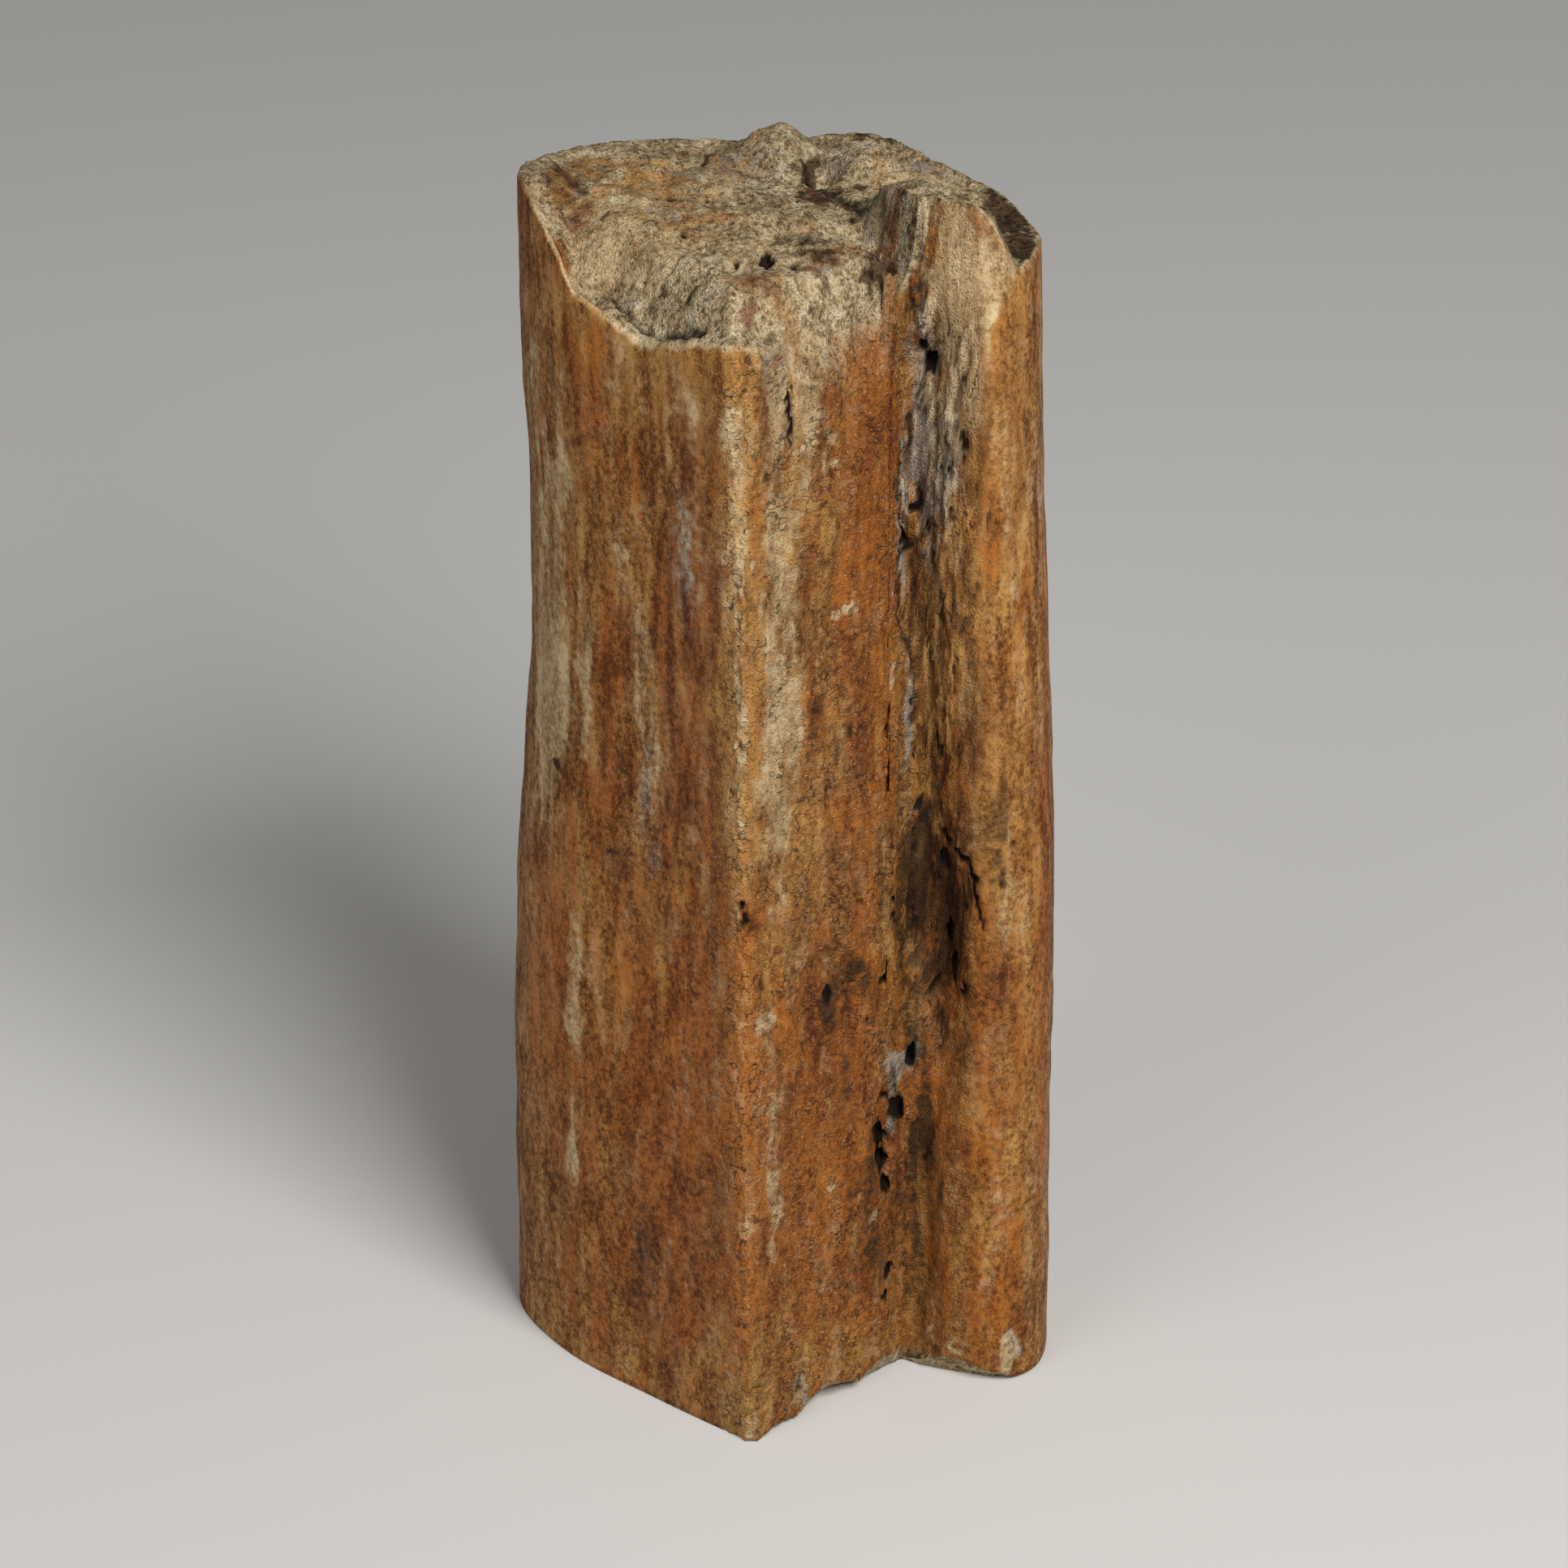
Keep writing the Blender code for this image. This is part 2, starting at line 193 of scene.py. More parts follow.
def outward(ring):
    """Unit vectors pointing out of a closed ring of points."""
    along = np.roll(ring, -1, axis=0) - np.roll(ring, 1, axis=0)
    across = np.stack([-along[:, 1], along[:, 0]], axis=1)
    return across / np.linalg.norm(across, axis=1, keepdims=True)


middle_ring = outline(np.full(len(columns), HEAD_Z / 2))
spacing = np.linalg.norm(middle_ring - np.roll(middle_ring, 1, axis=0), axis=1)
print(len(columns), "columns,", round(spacing.min(), 2), "to", round(spacing.max(), 2), "mm apart")

# %% [markdown]
# Both ends are broken. A break is a height for every place in the section: a sloping level, a scoop behind
# the front edge, lumps and pits, a cleft, and the spire in which the column ends. The same numbers made the
# solid. The skin adds what is too fine for it: the ledges that peel off round the right lump, the pores of
# the spongy inside, and chips along the edge.

# %% Forms of the upper break
BREAK_Z = 153.2                   # level of the upper break over the middle of the section
FALL_RIGHT = 0.085                # how much it falls for each mm to the right
FALL_BACK = 0.12                  # and for each mm behind the middle

# The scoop behind the front edge: x, depth, and how far back it runs
SCOOP = (
    (-33.0, 0.0, 6.0), (-29.0, 1.0, 7.0), (-27.0, 3.0, 10.0), (-25.0, 7.0, 13.0),
    (-20.3, 8.2, 13.0), (-16.4, 9.6, 11.0), (-8.5, 5.0, 9.0), (-5.7, 4.4, 8.0),
    (1.3, 6.6, 7.0), (7.0, 7.2, 8.5), (12.6, 8.6, 5.0),
)

# Lumps (up) and pits (down) of the upper break: (x, y), radii, height
BREAK_FORMS = (
    ("peak", (-1.0, 21.0), (6.0, 6.5), 5.0),
    ("right lump", (12.5, 18.5), (9.0, 9.0), 3.5),
    ("shoulder behind the column", (16.0, 1.0), (6.0, 9.5), 5.0),
    ("back edge", (8.0, 27.5), (8.0, 6.0), 2.2),
    ("pit beside the peak", (4.8, 15.0), (2.4, 2.8), -3.2),
    ("low corner behind the column", (25.0, 6.0), (7.0, 9.0), -1.6),
    ("marrow pit", (-1.8, -6.0), (2.6, 2.6), -2.0),
    ("left pit", (-14.5, 11.0), (2.4, 2.0), -1.6),
    ("hollow below the spire", (8.6, -6.0), (4.0, 4.0), -1.6),
    ("left corner", (-30.0, 4.0), (4.5, 9.0), 1.6),
)
CLEFT = ((14.2, -13.5), (8.4, -3.0))    # its two ends
CLEFT_WIDTH = 1.3                 # half width
CLEFT_DEPTH = 3.0                 # at its front end
CLEFT_FADE = 0.75                 # how much of the depth is gone at its back end
SPIRE_FLANK = ((15.8, -12.5), (7.4, 1.0))
SPIRE_BACK = ((7.4, 1.0), (28.0, -5.5))
SPIRE_RIGHT_X = 28.0
SPIRE_TOP_Z = 159.4
SPIRE_TOP_X = 21.0
SPIRE_FALL = 0.22                 # drop in mm per square mm to the right of its top
SPIRE_BACK_FALL = 0.12            # drop in mm per mm behind its front
SPIRE_FRONT_Y = -12.0
SPIRE_EDGES = (1.2, 3.0, 1.6)     # how wide its left, back and right slopes are
SPIRE_LEAN = 3.2                  # how far the column leans back over its last stretch
print(len(BREAK_FORMS), "lumps and pits, a scoop, a cleft and a spire in the upper break")

# %% Forms of the lower break
# The chipped front rim of the lower break: x, height, and how far in it slopes down to the ground
FOOT_RIM = (
    (-34.0, 0.0, 2.0), (-3.4, 0.0, 2.0), (-0.8, 0.8, 3.0), (1.6, 0.5, 3.0), (3.2, 2.0, 3.6),
    (5.3, 3.6, 4.4), (7.5, 2.6, 4.0), (9.6, 1.7, 3.0), (12.4, 3.8, 3.0), (17.0, 3.0, 1.8),
    (22.0, 3.1, 1.6), (26.0, 1.9, 1.6), (29.0, 0.4, 1.6), (34.0, 0.0, 1.6),
)
FOOT_HOLLOWS = (
    ("marrow hollow", (7.0, -2.0), (10.0, 7.5), 4.0),
    ("scar at the back", (9.0, 25.0), (11.0, 7.0), 2.4),
    ("scar at the left", (-31.0, 12.0), (6.0, 8.0), 1.6),
    ("pit behind the ridge", (-8.0, -17.0), (5.0, 4.0), 1.8),
    ("pit at the left back", (-12.0, 17.0), (5.0, 3.5), 1.5),
)
EDGE_WANDER = 0.35                # how far the edges of the forms wander, as a share of their size
print(len(FOOT_HOLLOWS), "hollows in the lower break")

# %% Heights of the two breaks
def front_edge(x):
    """How far forward the head's outline reaches at x."""
    names = ["left side", "left turn", "left face", "ridge", "front face", "second edge", "lip"]
    points = {row[0]: row[2] for row in SECTION}
    return np.interp(x, [points[name][0] for name in names], [points[name][1] for name in names])


def right_of(line, x, y):
    """How far points lie to the right of a line, seen from above along it."""
    (start_x, start_y), (end_x, end_y) = line
    run_x, run_y = end_x - start_x, end_y - start_y
    return ((x - start_x) * run_y - (y - start_y) * run_x) / np.hypot(run_x, run_y)


def off_line(line, x, y):
    """Distance from a line of points, and how far along it the nearest place is, from nought to one."""
    points = np.array(line, dtype=float)
    best = np.full(len(x), 1e9)
    place = np.zeros(len(x))
    for index, (start, end) in enumerate(zip(points, points[1:])):
        run = end - start
        here = np.clip(((x - start[0]) * run[0] + (y - start[1]) * run[1]) / (run @ run), 0.0, 1.0)
        away = np.hypot(x - start[0] - here * run[0], y - start[1] - here * run[1])
        place = np.where(away < best, (index + here) / (len(points) - 1), place)
        best = np.minimum(best, away)
    return best, place


def break_height(x, y):
    """Height of the upper break over each point of the section."""
    level = BREAK_Z - FALL_RIGHT * x - FALL_BACK * np.maximum(y, 0.0)
    stations = np.array(SCOOP)
    depth = np.interp(x, stations[:, 0], stations[:, 1], right=0.0)
    run = np.interp(x, stations[:, 0], stations[:, 2])
    level -= depth * (1.0 - ease((y - front_edge(x)) / run))
    for _, (middle_x, middle_y), (radius_x, radius_y), height in BREAK_FORMS:
        away = np.hypot((x - middle_x) / radius_x, (y - middle_y) / radius_y)
        level += height * (1.0 - ease(away / 1.3))
    away, place = off_line(CLEFT, x, y)
    level -= CLEFT_DEPTH * (1.0 - CLEFT_FADE * place) * bump(away, 0.0, CLEFT_WIDTH)
    spire = SPIRE_TOP_Z - SPIRE_FALL * np.maximum(x - SPIRE_TOP_X, 0.0) ** 2
    spire -= SPIRE_BACK_FALL * np.maximum(y - SPIRE_FRONT_Y, 0.0)
    left, back, right = SPIRE_EDGES
    inside = ease(right_of(SPIRE_FLANK, x, y) / left) * ease((SPIRE_RIGHT_X - x) / right)
    inside = inside * ease(right_of(SPIRE_BACK, x, y) / back)
    return level + np.maximum(spire - level, 0.0) * inside


FOOT_FRONT = np.array(sorted(
    row[1] for row in SECTION if row[1][1] < 0.0 or row[0] in ("left side", "right side")))


def foot_height(x, y):
    """Height of the lower break over each point of the section."""
    stations = np.array(FOOT_RIM)
    rim = np.interp(x, stations[:, 0], stations[:, 1])
    run = np.interp(x, stations[:, 0], stations[:, 2])
    inward = y - np.interp(x, FOOT_FRONT[:, 0], FOOT_FRONT[:, 1])
    height = rim * np.clip(1.0 - inward / run, 0.0, 1.0) * (y < 0.0)
    points = np.column_stack([x, y, np.zeros(len(x))])
    wander = 1.0 + EDGE_WANDER * grain(points, size=8.0, seed=13)
    for _, (middle_x, middle_y), (radius_x, radius_y), rise in FOOT_HOLLOWS:
        away = np.hypot((x - middle_x) / radius_x, (y - middle_y) / radius_y) * wander
        height = np.maximum(height, rise * ease(1.6 * (1.0 - away)))
    return height


print("upper break over the middle:", np.round(break_height(np.zeros(1), np.zeros(1)), 1), "mm")

# %% [markdown]
# The upper break is where the bone's inside shows. Here the layers of the wall peel away in curved ledges
# round the right lump, and small vessel pits go down into it. Each ledge is a saw-toothed step in the
# height, and each pit a small cup at its own place, so that they catch the light as real ones do.

# %% Fine forms of the upper break
# Small pits, whose depth the finish also paints near black as shade: x, y, radii, depth
BREAK_PITS = (
    (-13.8, 2.8, 1.2, 1.6, 1.4), (-9.2, 3.5, 0.6, 1.0, 0.9), (-11.8, -8.5, 0.6, 1.2, 1.0),
    (-8.5, -6.5, 0.4, 0.9, 0.7), (-2.0, -13.5, 1.2, 2.2, 2.0), (-5.5, -15.5, 0.5, 1.0, 0.9),
    (1.2, -14.2, 0.8, 1.1, 0.9), (9.8, 19.5, 0.8, 1.9, 1.0), (-4.0, 14.8, 0.8, 0.5, 0.8),
    (3.0, 15.2, 0.8, 2.0, 1.0), (6.5, 11.2, 0.6, 1.2, 1.0), (-16.0, -14.2, 0.5, 0.4, 0.8),
    (-11.0, -19.8, 0.6, 0.4, 0.8), (-5.0, -23.8, 0.8, 0.3, 0.8), (10.2, -13.2, 0.6, 0.5, 0.9),
    (4.8, -15.8, 0.8, 0.5, 0.8), (-19.2, -8.8, 0.4, 0.3, 0.7), (-21.8, -3.8, 0.4, 0.4, 0.6),
    (-25.8, -2.5, 0.4, 0.4, 0.6), (2.2, 0.0, 0.6, 1.2, 0.8), (8.0, 1.5, 0.5, 2.0, 0.8),
    (-0.8, -20.5, 0.5, 0.3, 0.7), (-9.0, -18.5, 0.4, 0.6, 0.6), (-14.0, -14.2, 0.4, 0.3, 0.6),
)
LEDGE_MIDDLE = (8.0, 25.0)        # the curved ledges run round this place
LEDGE_REACH = (3.0, 13.5)         # from this far off it to that far
LEDGE_LEFT_X = 2.0                # and only to the right of this
LEDGE_STEP = 2.6                  # from one ledge to the next
LEDGE_DEPTH = 0.9
CRUMB = 0.3                       # height of the crumbs between the pores
CHIP = 0.3                        # depth of the chips along the edge

# The ragged gap between the flat part and the spire, and the crack just behind the front edge; their depth
# is also painted dark as shade
CREVICE = ((2.6, 13.0), (6.4, 9.6), (9.2, 4.0), (11.0, -1.5), (11.8, -5.0))
CREVICE_DEPTH = 0.7
CREVICE_WIDTH = 1.1
SEAM = ((-21.3, -11.7), (-17.4, -16.5), (-15.4, -18.9), (-12.6, -21.8), (-9.0, -24.8))
SEAM_DEPTH = 0.6
SEAM_WIDTH = 0.28


def break_relief(points):
    """What the skin adds to the height of the upper break, and how deep its pits are, in mm; the finish
    paints the pits dark as shade.
    """
    x, y = points[:, 0], points[:, 1]
    relief = CRUMB * grain(points, size=1.1, seed=21, octaves=2)
    reach = np.hypot(x - LEDGE_MIDDLE[0], (y - LEDGE_MIDDLE[1]) * 1.15)
    reach = reach + 0.9 * grain(points, size=6.0, seed=23)
    saw = (reach / LEDGE_STEP) % 1.0
    near, far = LEDGE_REACH
    ledges = ease((reach - near) / 2.0) * ease((far - reach) / 2.0) * ease((x - LEDGE_LEFT_X) / 5.0)
    relief += LEDGE_DEPTH * (saw - 0.5) * ledges
    pits = np.zeros(len(x))
    ragged = 1.0 + 0.6 * grain(points, size=1.2, seed=25, octaves=2)
    for middle_x, middle_y, radius_x, radius_y, depth in BREAK_PITS:
        away = np.hypot((x - middle_x) / radius_x, (y - middle_y) / radius_y) * ragged
        pits = np.maximum(pits, depth * ease(1.5 * (1.0 - away)))
    away, _ = off_line(CREVICE, x, y)
    gap = CREVICE_DEPTH * ease(1.3 - (away + 0.9 * grain(points, size=2.2, seed=35)) / CREVICE_WIDTH)
    pits = np.maximum(pits, gap)
    away, _ = off_line(SEAM, x, y)
    seam = SEAM_DEPTH * ease(1.4 - (away + 0.3 * grain(points, size=2.0, seed=27, octaves=2)) / SEAM_WIDTH)
    pits = np.maximum(pits, seam)
    return relief - pits, pits


print(len(BREAK_PITS), "pits,", LEDGE_STEP, "mm from one ledge to the next")

# %% [markdown]
# The sides carry forms of two sizes. The large ones are in the solid: the recess in the groove, flake scars
# and a muscle line. Each is an ellipsoid round a place, so its edge is soft and can wander a little. A
# sculpting brush would do the same by hand, but a list of forms can be checked against the solid's.

# %% Large forms of the sides
# Centre, radii, depth, and how soft the edge is. A depth below nought stands out.
SIDE_FORMS = (
    ("recess in the groove", (19.0, -13.0, 65.0), (5.5, 6.0, 15.0), 2.2, 0.8),
    ("flake scar beside the ridge", (5.5, -22.0, 57.0), (6.0, 6.0, 8.5), 1.3, 0.4),
    ("dent on the ridge", (-3.5, -30.0, 71.0), (2.4, 4.0, 4.5), 1.0, 1.0),
    ("pit at the head of the lip", (15.2, -12.5, 140.0), (1.9, 4.0, 3.2), 1.6, 0.6),
    ("pits at the foot of the lip", (12.6, -15.2, 36.0), (1.6, 4.0, 9.0), 1.3, 0.6),
    ("muscle line on the left back", (-27.0, 19.5, 74.0), (3.6, 6.0, 62.0), -1.1, 1.0),
    ("flat along the back", (7.0, 29.0, 84.0), (15.0, 6.0, 62.0), 1.2, 0.7),
    ("flake scar low on the right back", (26.0, 17.5, 26.0), (9.0, 10.0, 17.0), 1.7, 0.25),
    ("flake scar at the head of the back", (-13.0, 27.0, 147.0), (10.0, 7.0, 12.0), 1.6, 0.25),
    ("nick in the right side", (32.5, 5.0, 106.0), (5.0, 6.0, 7.0), 0.9, 0.5),
    ("vessel groove in the left back", (-18.0, 25.0, 96.0), (1.8, 5.0, 24.0), 0.8, 1.0),
)
SIDE_GRAIN = 0.25
BREAK_GRAIN = 0.9


def side_depth(points):
    """How far the side is set in at each point, from the list of its large forms."""
    depth = np.zeros(len(points))
    wander = 1.0 + EDGE_WANDER * grain(points, size=8.0, seed=11)
    for _, middle, radii, amount, softness in SIDE_FORMS:
        away = np.linalg.norm((points - np.array(middle)) / np.array(radii), axis=1) * wander
        depth += amount * ease((1.0 - away) / softness)
    return depth


print(len(SIDE_FORMS), "large forms, up to", max(form[3] for form in SIDE_FORMS), "mm deep")

# %% [markdown]
# The small forms are only here: the ragged step of the lip, the thin flake that still lies on the front
# face, holes where vessels went in, and cracks. Each is placed by where it is seen from the front, as x and
# height. The lip and the flake go in along the surface's own outward direction, and the holes go straight in
# from the front, so that they stay open where the face turns away. A boolean cut for each would need far
# more faces round its edge.

# %% The lip and the thin flake
# The lip's ragged edge: height, x
LIP_LINE = (
    (0.0, 14.6), (15.0, 15.4), (28.1, 15.0), (34.9, 15.6), (40.7, 16.8), (45.2, 17.8), (50.0, 17.6),
    (58.2, 16.4), (64.7, 15.2), (68.8, 15.0), (73.6, 15.5),
    (80.3, 16.2), (87.3, 15.9), (94.3, 15.2), (98.6, 15.5), (103.2, 14.8), (107.5, 13.4), (113.7, 13.3),
    (116.6, 14.4), (120.0, 13.6), (124.6, 13.2), (129.0, 14.4), (132.2, 14.2), (133.6, 15.8),
    (140.3, 16.4), (160.0, 16.4),
)
LIP_STEP = 1.5                    # how far the groove drops behind the lip
LIP_TOP_Z = 150.0                 # it fades out below this height
LIP_TOP_RUN = 9.0

# The thin flake on the front face: height, left edge, right edge
FLAKE_EDGES = (
    (62.5, 0.4, 1.2), (66.0, -1.0, 3.6), (72.0, -3.0, 4.8), (80.0, -3.6, 4.9), (95.0, -4.2, 4.6),
    (110.0, -4.6, 4.8), (124.0, -4.2, 6.6), (135.0, -3.6, 6.4), (148.0, -2.6, 6.6),
)
FLAKE_THICKNESS = 0.45
lip_x = [row[1] for row in LIP_LINE]
print("the lip's edge wanders between x", min(lip_x), "and", max(lip_x), "mm")

# %% Holes and cracks
# Holes: x, height, radii, depth. The depth of holes and cracks is also painted near black in the finish, as
# shade
HOLES = (
    (16.7, 139.0, 0.5, 1.2, 1.8), (16.1, 141.0, 0.4, 1.1, 1.5), (14.4, 116.6, 0.6, 1.0, 2.0),
    (15.1, 114.7, 0.4, 1.1, 1.1), (15.6, 45.3, 0.65, 1.4, 2.0), (13.1, 41.0, 0.6, 0.6, 1.2),
    (14.1, 38.6, 0.6, 1.5, 1.8), (12.6, 35.2, 0.65, 1.3, 2.0), (12.6, 32.0, 0.8, 1.3, 2.0),
    (12.8, 28.3, 0.55, 1.1, 1.6), (12.2, 58.5, 0.5, 0.6, 1.4), (5.9, 58.8, 0.5, 1.8, 1.1),
    (10.1, 53.9, 0.35, 0.4, 0.8), (27.7, 28.0, 0.8, 0.3, 0.4), (16.2, 80.3, 0.5, 0.7, 1.4),
    (15.9, 73.6, 0.35, 0.7, 0.8), (13.3, 69.0, 0.4, 0.4, 0.9), (13.2, 66.6, 0.4, 0.7, 0.8),
    (27.8, 76.7, 0.4, 0.4, 0.8), (12.5, 92.7, 0.35, 0.9, 0.8), (13.2, 124.6, 0.35, 0.6, 1.0),
    (15.5, 119.7, 0.4, 0.6, 1.2), (16.6, 117.6, 0.4, 0.7, 1.0), (13.0, 15.8, 0.5, 1.0, 1.4),
    (12.6, 12.1, 0.4, 0.7, 1.0), (4.3, 143.6, 0.35, 0.8, 0.7), (-1.9, 131.7, 0.4, 1.0, 0.7),
    (-5.0, 76.1, 0.6, 0.9, 0.9), (-4.4, 73.3, 0.5, 1.3, 0.8), (-2.9, 87.0, 0.4, 0.9, 0.6),
    (7.1, 99.7, 0.35, 0.7, 0.6), (4.6, 111.1, 0.35, 0.7, 0.6), (2.1, 123.3, 0.35, 0.9, 0.5),
    (4.9, 118.0, 0.4, 0.8, 0.6), (8.0, 94.6, 0.4, 1.0, 0.7), (3.8, 85.3, 0.35, 0.9, 0.6),
    (10.3, 116.5, 0.35, 0.6, 0.6), (9.2, 71.0, 0.4, 0.7, 0.7), (-6.4, 90.8, 0.4, 0.6, 0.5),
    (-5.8, 104.7, 0.4, 0.4, 0.5), (13.9, 42.0, 0.35, 0.4, 0.9),
)

# Cracks: points as (x, height), half width, depth. Those of the left face are thin and hold rust.
LEFT_CRACKS = (
    (((-28.3, 92.9), (-22.1, 99.5), (-8.2, 110.0)), 0.16, 0.22),
    (((-26.5, 126.8), (-22.0, 131.2)), 0.16, 0.18),
)
CRACKS = (
    (((17.5, 77.5), (19.3, 75.5), (20.8, 74.8), (22.6, 73.1), (23.3, 69.4), (24.3, 64.5)), 0.36, 1.3),
    (((18.4, 74.3), (18.6, 70.9)), 0.34, 1.2), (((17.4, 71.0), (17.5, 68.5)), 0.3, 0.9),
    (((22.0, 68.1), (22.0, 66.4)), 0.3, 1.0), (((18.9, 64.1), (19.1, 60.8)), 0.4, 1.7),
    (((20.0, 60.1), (20.5, 56.0)), 0.42, 1.8), (((21.7, 57.1), (22.1, 54.6)), 0.34, 1.2),
    (((17.9, 56.3), (17.5, 53.7)), 0.3, 0.9), (((15.4, 68.7), (15.9, 63.9), (17.1, 59.4)), 0.3, 0.8),
    (((18.5, 52.4), (18.8, 44.9)), 0.3, 0.7), (((22.3, 57.1), (22.0, 53.7)), 0.28, 0.6),
    (((21.9, 94.5), (22.0, 90.2)), 0.28, 0.6), (((21.0, 90.3), (21.0, 88.6)), 0.28, 0.7),
    (((17.9, 91.4), (18.2, 87.0)), 0.3, 0.8), (((15.8, 88.2), (15.5, 87.2)), 0.28, 0.8),
    (((20.8, 139.0), (21.1, 137.3)), 0.3, 0.9), (((21.2, 132.1), (21.3, 127.0)), 0.32, 1.0),
    (((19.4, 127.0), (19.7, 125.2)), 0.3, 1.0), (((18.5, 126.9), (18.5, 125.2)), 0.28, 0.8),
    (((15.5, 122.9), (15.9, 119.8)), 0.3, 0.9), (((20.0, 121.7), (19.9, 119.2)), 0.28, 0.7),
    (((24.0, 122.7), (24.1, 118.3)), 0.28, 0.7), (((17.2, 118.8), (17.5, 111.7)), 0.28, 0.6),
    (((23.2, 114.2), (23.0, 109.3)), 0.28, 0.6), (((18.7, 110.6), (19.0, 104.7)), 0.28, 0.7),
    (((16.8, 104.9), (17.2, 97.9)), 0.3, 0.8), (((20.4, 103.0), (20.5, 96.2)), 0.28, 0.7),
    (((22.4, 105.4), (22.5, 97.7)), 0.28, 0.6), (((24.2, 38.6), (24.2, 32.7)), 0.28, 0.5),
    (((0.5, 142.8), (0.8, 133.9)), 0.36, 1.1), (((-0.2, 132.6), (-0.2, 129.5)), 0.3, 0.6),
    (((3.7, 132.1), (3.7, 127.4)), 0.28, 0.5), (((2.1, 119.4), (2.4, 114.0)), 0.26, 0.4),
    (((-0.5, 109.9), (-0.4, 104.3)), 0.26, 0.4), (((5.4, 89.2), (5.4, 83.8)), 0.28, 0.6),
    (((16.6, 150.8), (16.5, 146.2)), 0.2, 0.5), (((20.3, 151.6), (25.2, 152.1)), 0.16, 0.3),
    (((14.3, 152.5), (14.9, 147.5), (15.9, 142.0)), 0.22, 0.7),
    (((14.2, 131.0), (13.4, 124.5), (14.3, 117.0), (13.4, 110.0)), 0.3, 0.7),
    (((9.4, 113.0), (9.6, 106.0)), 0.26, 0.4),
) + LEFT_CRACKS
print(len(HOLES), "holes and", len(CRACKS), "cracks")

# %% How deep the small forms go
def lip_depth(points, wander):
    """The step down from the lip into the groove, which fades out up the column's flank."""
    heights, edges = np.array(LIP_LINE).T
    past = points[:, 0] - np.interp(points[:, 2], heights, edges) - 0.8 * wander
    step = ease(past / 0.5) * (1.0 - ease((past - 1.0) / 5.0))
    at_front = ease((-4.0 - points[:, 1]) / 4.0)
    return LIP_STEP * step * at_front * ease((LIP_TOP_Z - points[:, 2]) / LIP_TOP_RUN)


def flake_depth(points, wander):
    """The face is lower than the thin flake by its thickness just outside the flake's edges."""
    heights, left, right = np.array(FLAKE_EDGES).T
    z = points[:, 2]
    past_right = points[:, 0] - np.interp(z, heights, right) + 0.7 * wander
    past_left = np.interp(z, heights, left) - points[:, 0] + 0.5 * wander
    below = (heights[0] - z) / 2.0 + 0.5 * wander
    past = np.maximum(np.maximum(past_right, past_left * 0.6), below)
    scar = ease(past / 0.6) * (1.0 - ease((past - 0.6) / 4.0))
    return FLAKE_THICKNESS * scar * ease((-10.0 - points[:, 1]) / 4.0) * ease((z - 44.0) / 10.0)


def hole_depth(points, wander):
    """Vessel holes and cracks of the front, in mm."""
    x, z = points[:, 0], points[:, 2]
    depth = np.zeros(len(points))
    for middle_x, middle_z, radius_x, radius_z, deep in HOLES:
        away = np.hypot((x - middle_x) / radius_x, (z - middle_z) / radius_z) * (1.0 + 0.5 * wander)
        depth = np.maximum(depth, deep * ease(1.6 * (1.15 - away)))
    for line, half_width, deep in CRACKS:
        away, place = off_line(line, x + 0.45 * wander, z)
        taper = np.sqrt(np.clip(4.0 * place * (1.0 - place), 0.0, 1.0)) * 0.6 + 0.4
        depth = np.maximum(depth, deep * taper * ease(1.3 - away / half_width / taper))
    return depth * ease(-points[:, 1] / 3.0)


print("the lip steps down", LIP_STEP, "mm, and the thin flake stands out", FLAKE_THICKNESS, "mm")

# %% [markdown]
# The skin is a stack of rings from the lower rim to the upper rim, closed at each end by rings that shrink
# to the middle of the break. Towards the middle every second column is dropped, so the faces stay about as
# wide as they are long. The skin comes out as one closed mesh, and the places of its points are kept as an
# array, because the stains are worked out from them later.

# %% Rings of the skin
BREAK_MIDDLE = (-1.0, 1.0)
EDGE_GRAIN = {"size": 2.2, "seed": 29}    # of the chips along both sides of the upper rim
SHOULDER = (-1.0, 13.5)           # between these x the front edge of the upper break is worn round
SHOULDER_WEAR = 2.0               # how far in it is worn at the edge
SHOULDER_RUN = 5.5                # how far down the wear reaches
SHOULDER_CRUMB = 0.5
RIM_WEAR = 0.3                    # how far in the rest of the edge is worn
RIM_RUN = 0.9
RIM_FADE = 12.0                   # near each break the forms of the sides fade out over a twelfth
LEAN_Z = 138.0                    # the column starts to lean back here
LEAN_RUN = 24.0
COLUMN_X = 14.0                   # the column is to the right of this
COLUMN_Y = 2.0                    # and in front of this
BREAK_EDGE = 0.045                # share of the way in over which the upper break's relief begins


def on_shoulder(x, down):
    """One on the worn part of the front edge, fading out downwards."""
    return ease((x - SHOULDER[0]) / 3.0) * ease((SHOULDER[1] - x) / 2.0) * ease(1.2 - down / SHOULDER_RUN)


def edge_wear(points, down):
    """How far the side is worn in, at a distance down from the upper rim."""
    shoulder = on_shoulder(points[:, 0], down)
    wear = RIM_WEAR * np.clip(1.0 - down / RIM_RUN, 0.0, 1.0) ** 2
    wear += SHOULDER_WEAR * shoulder * np.clip(1.0 - down / SHOULDER_RUN, 0.0, 1.0) ** 1.6
    return wear + SHOULDER_CRUMB * shoulder * np.maximum(grain(points, size=1.6, seed=33), -0.3)


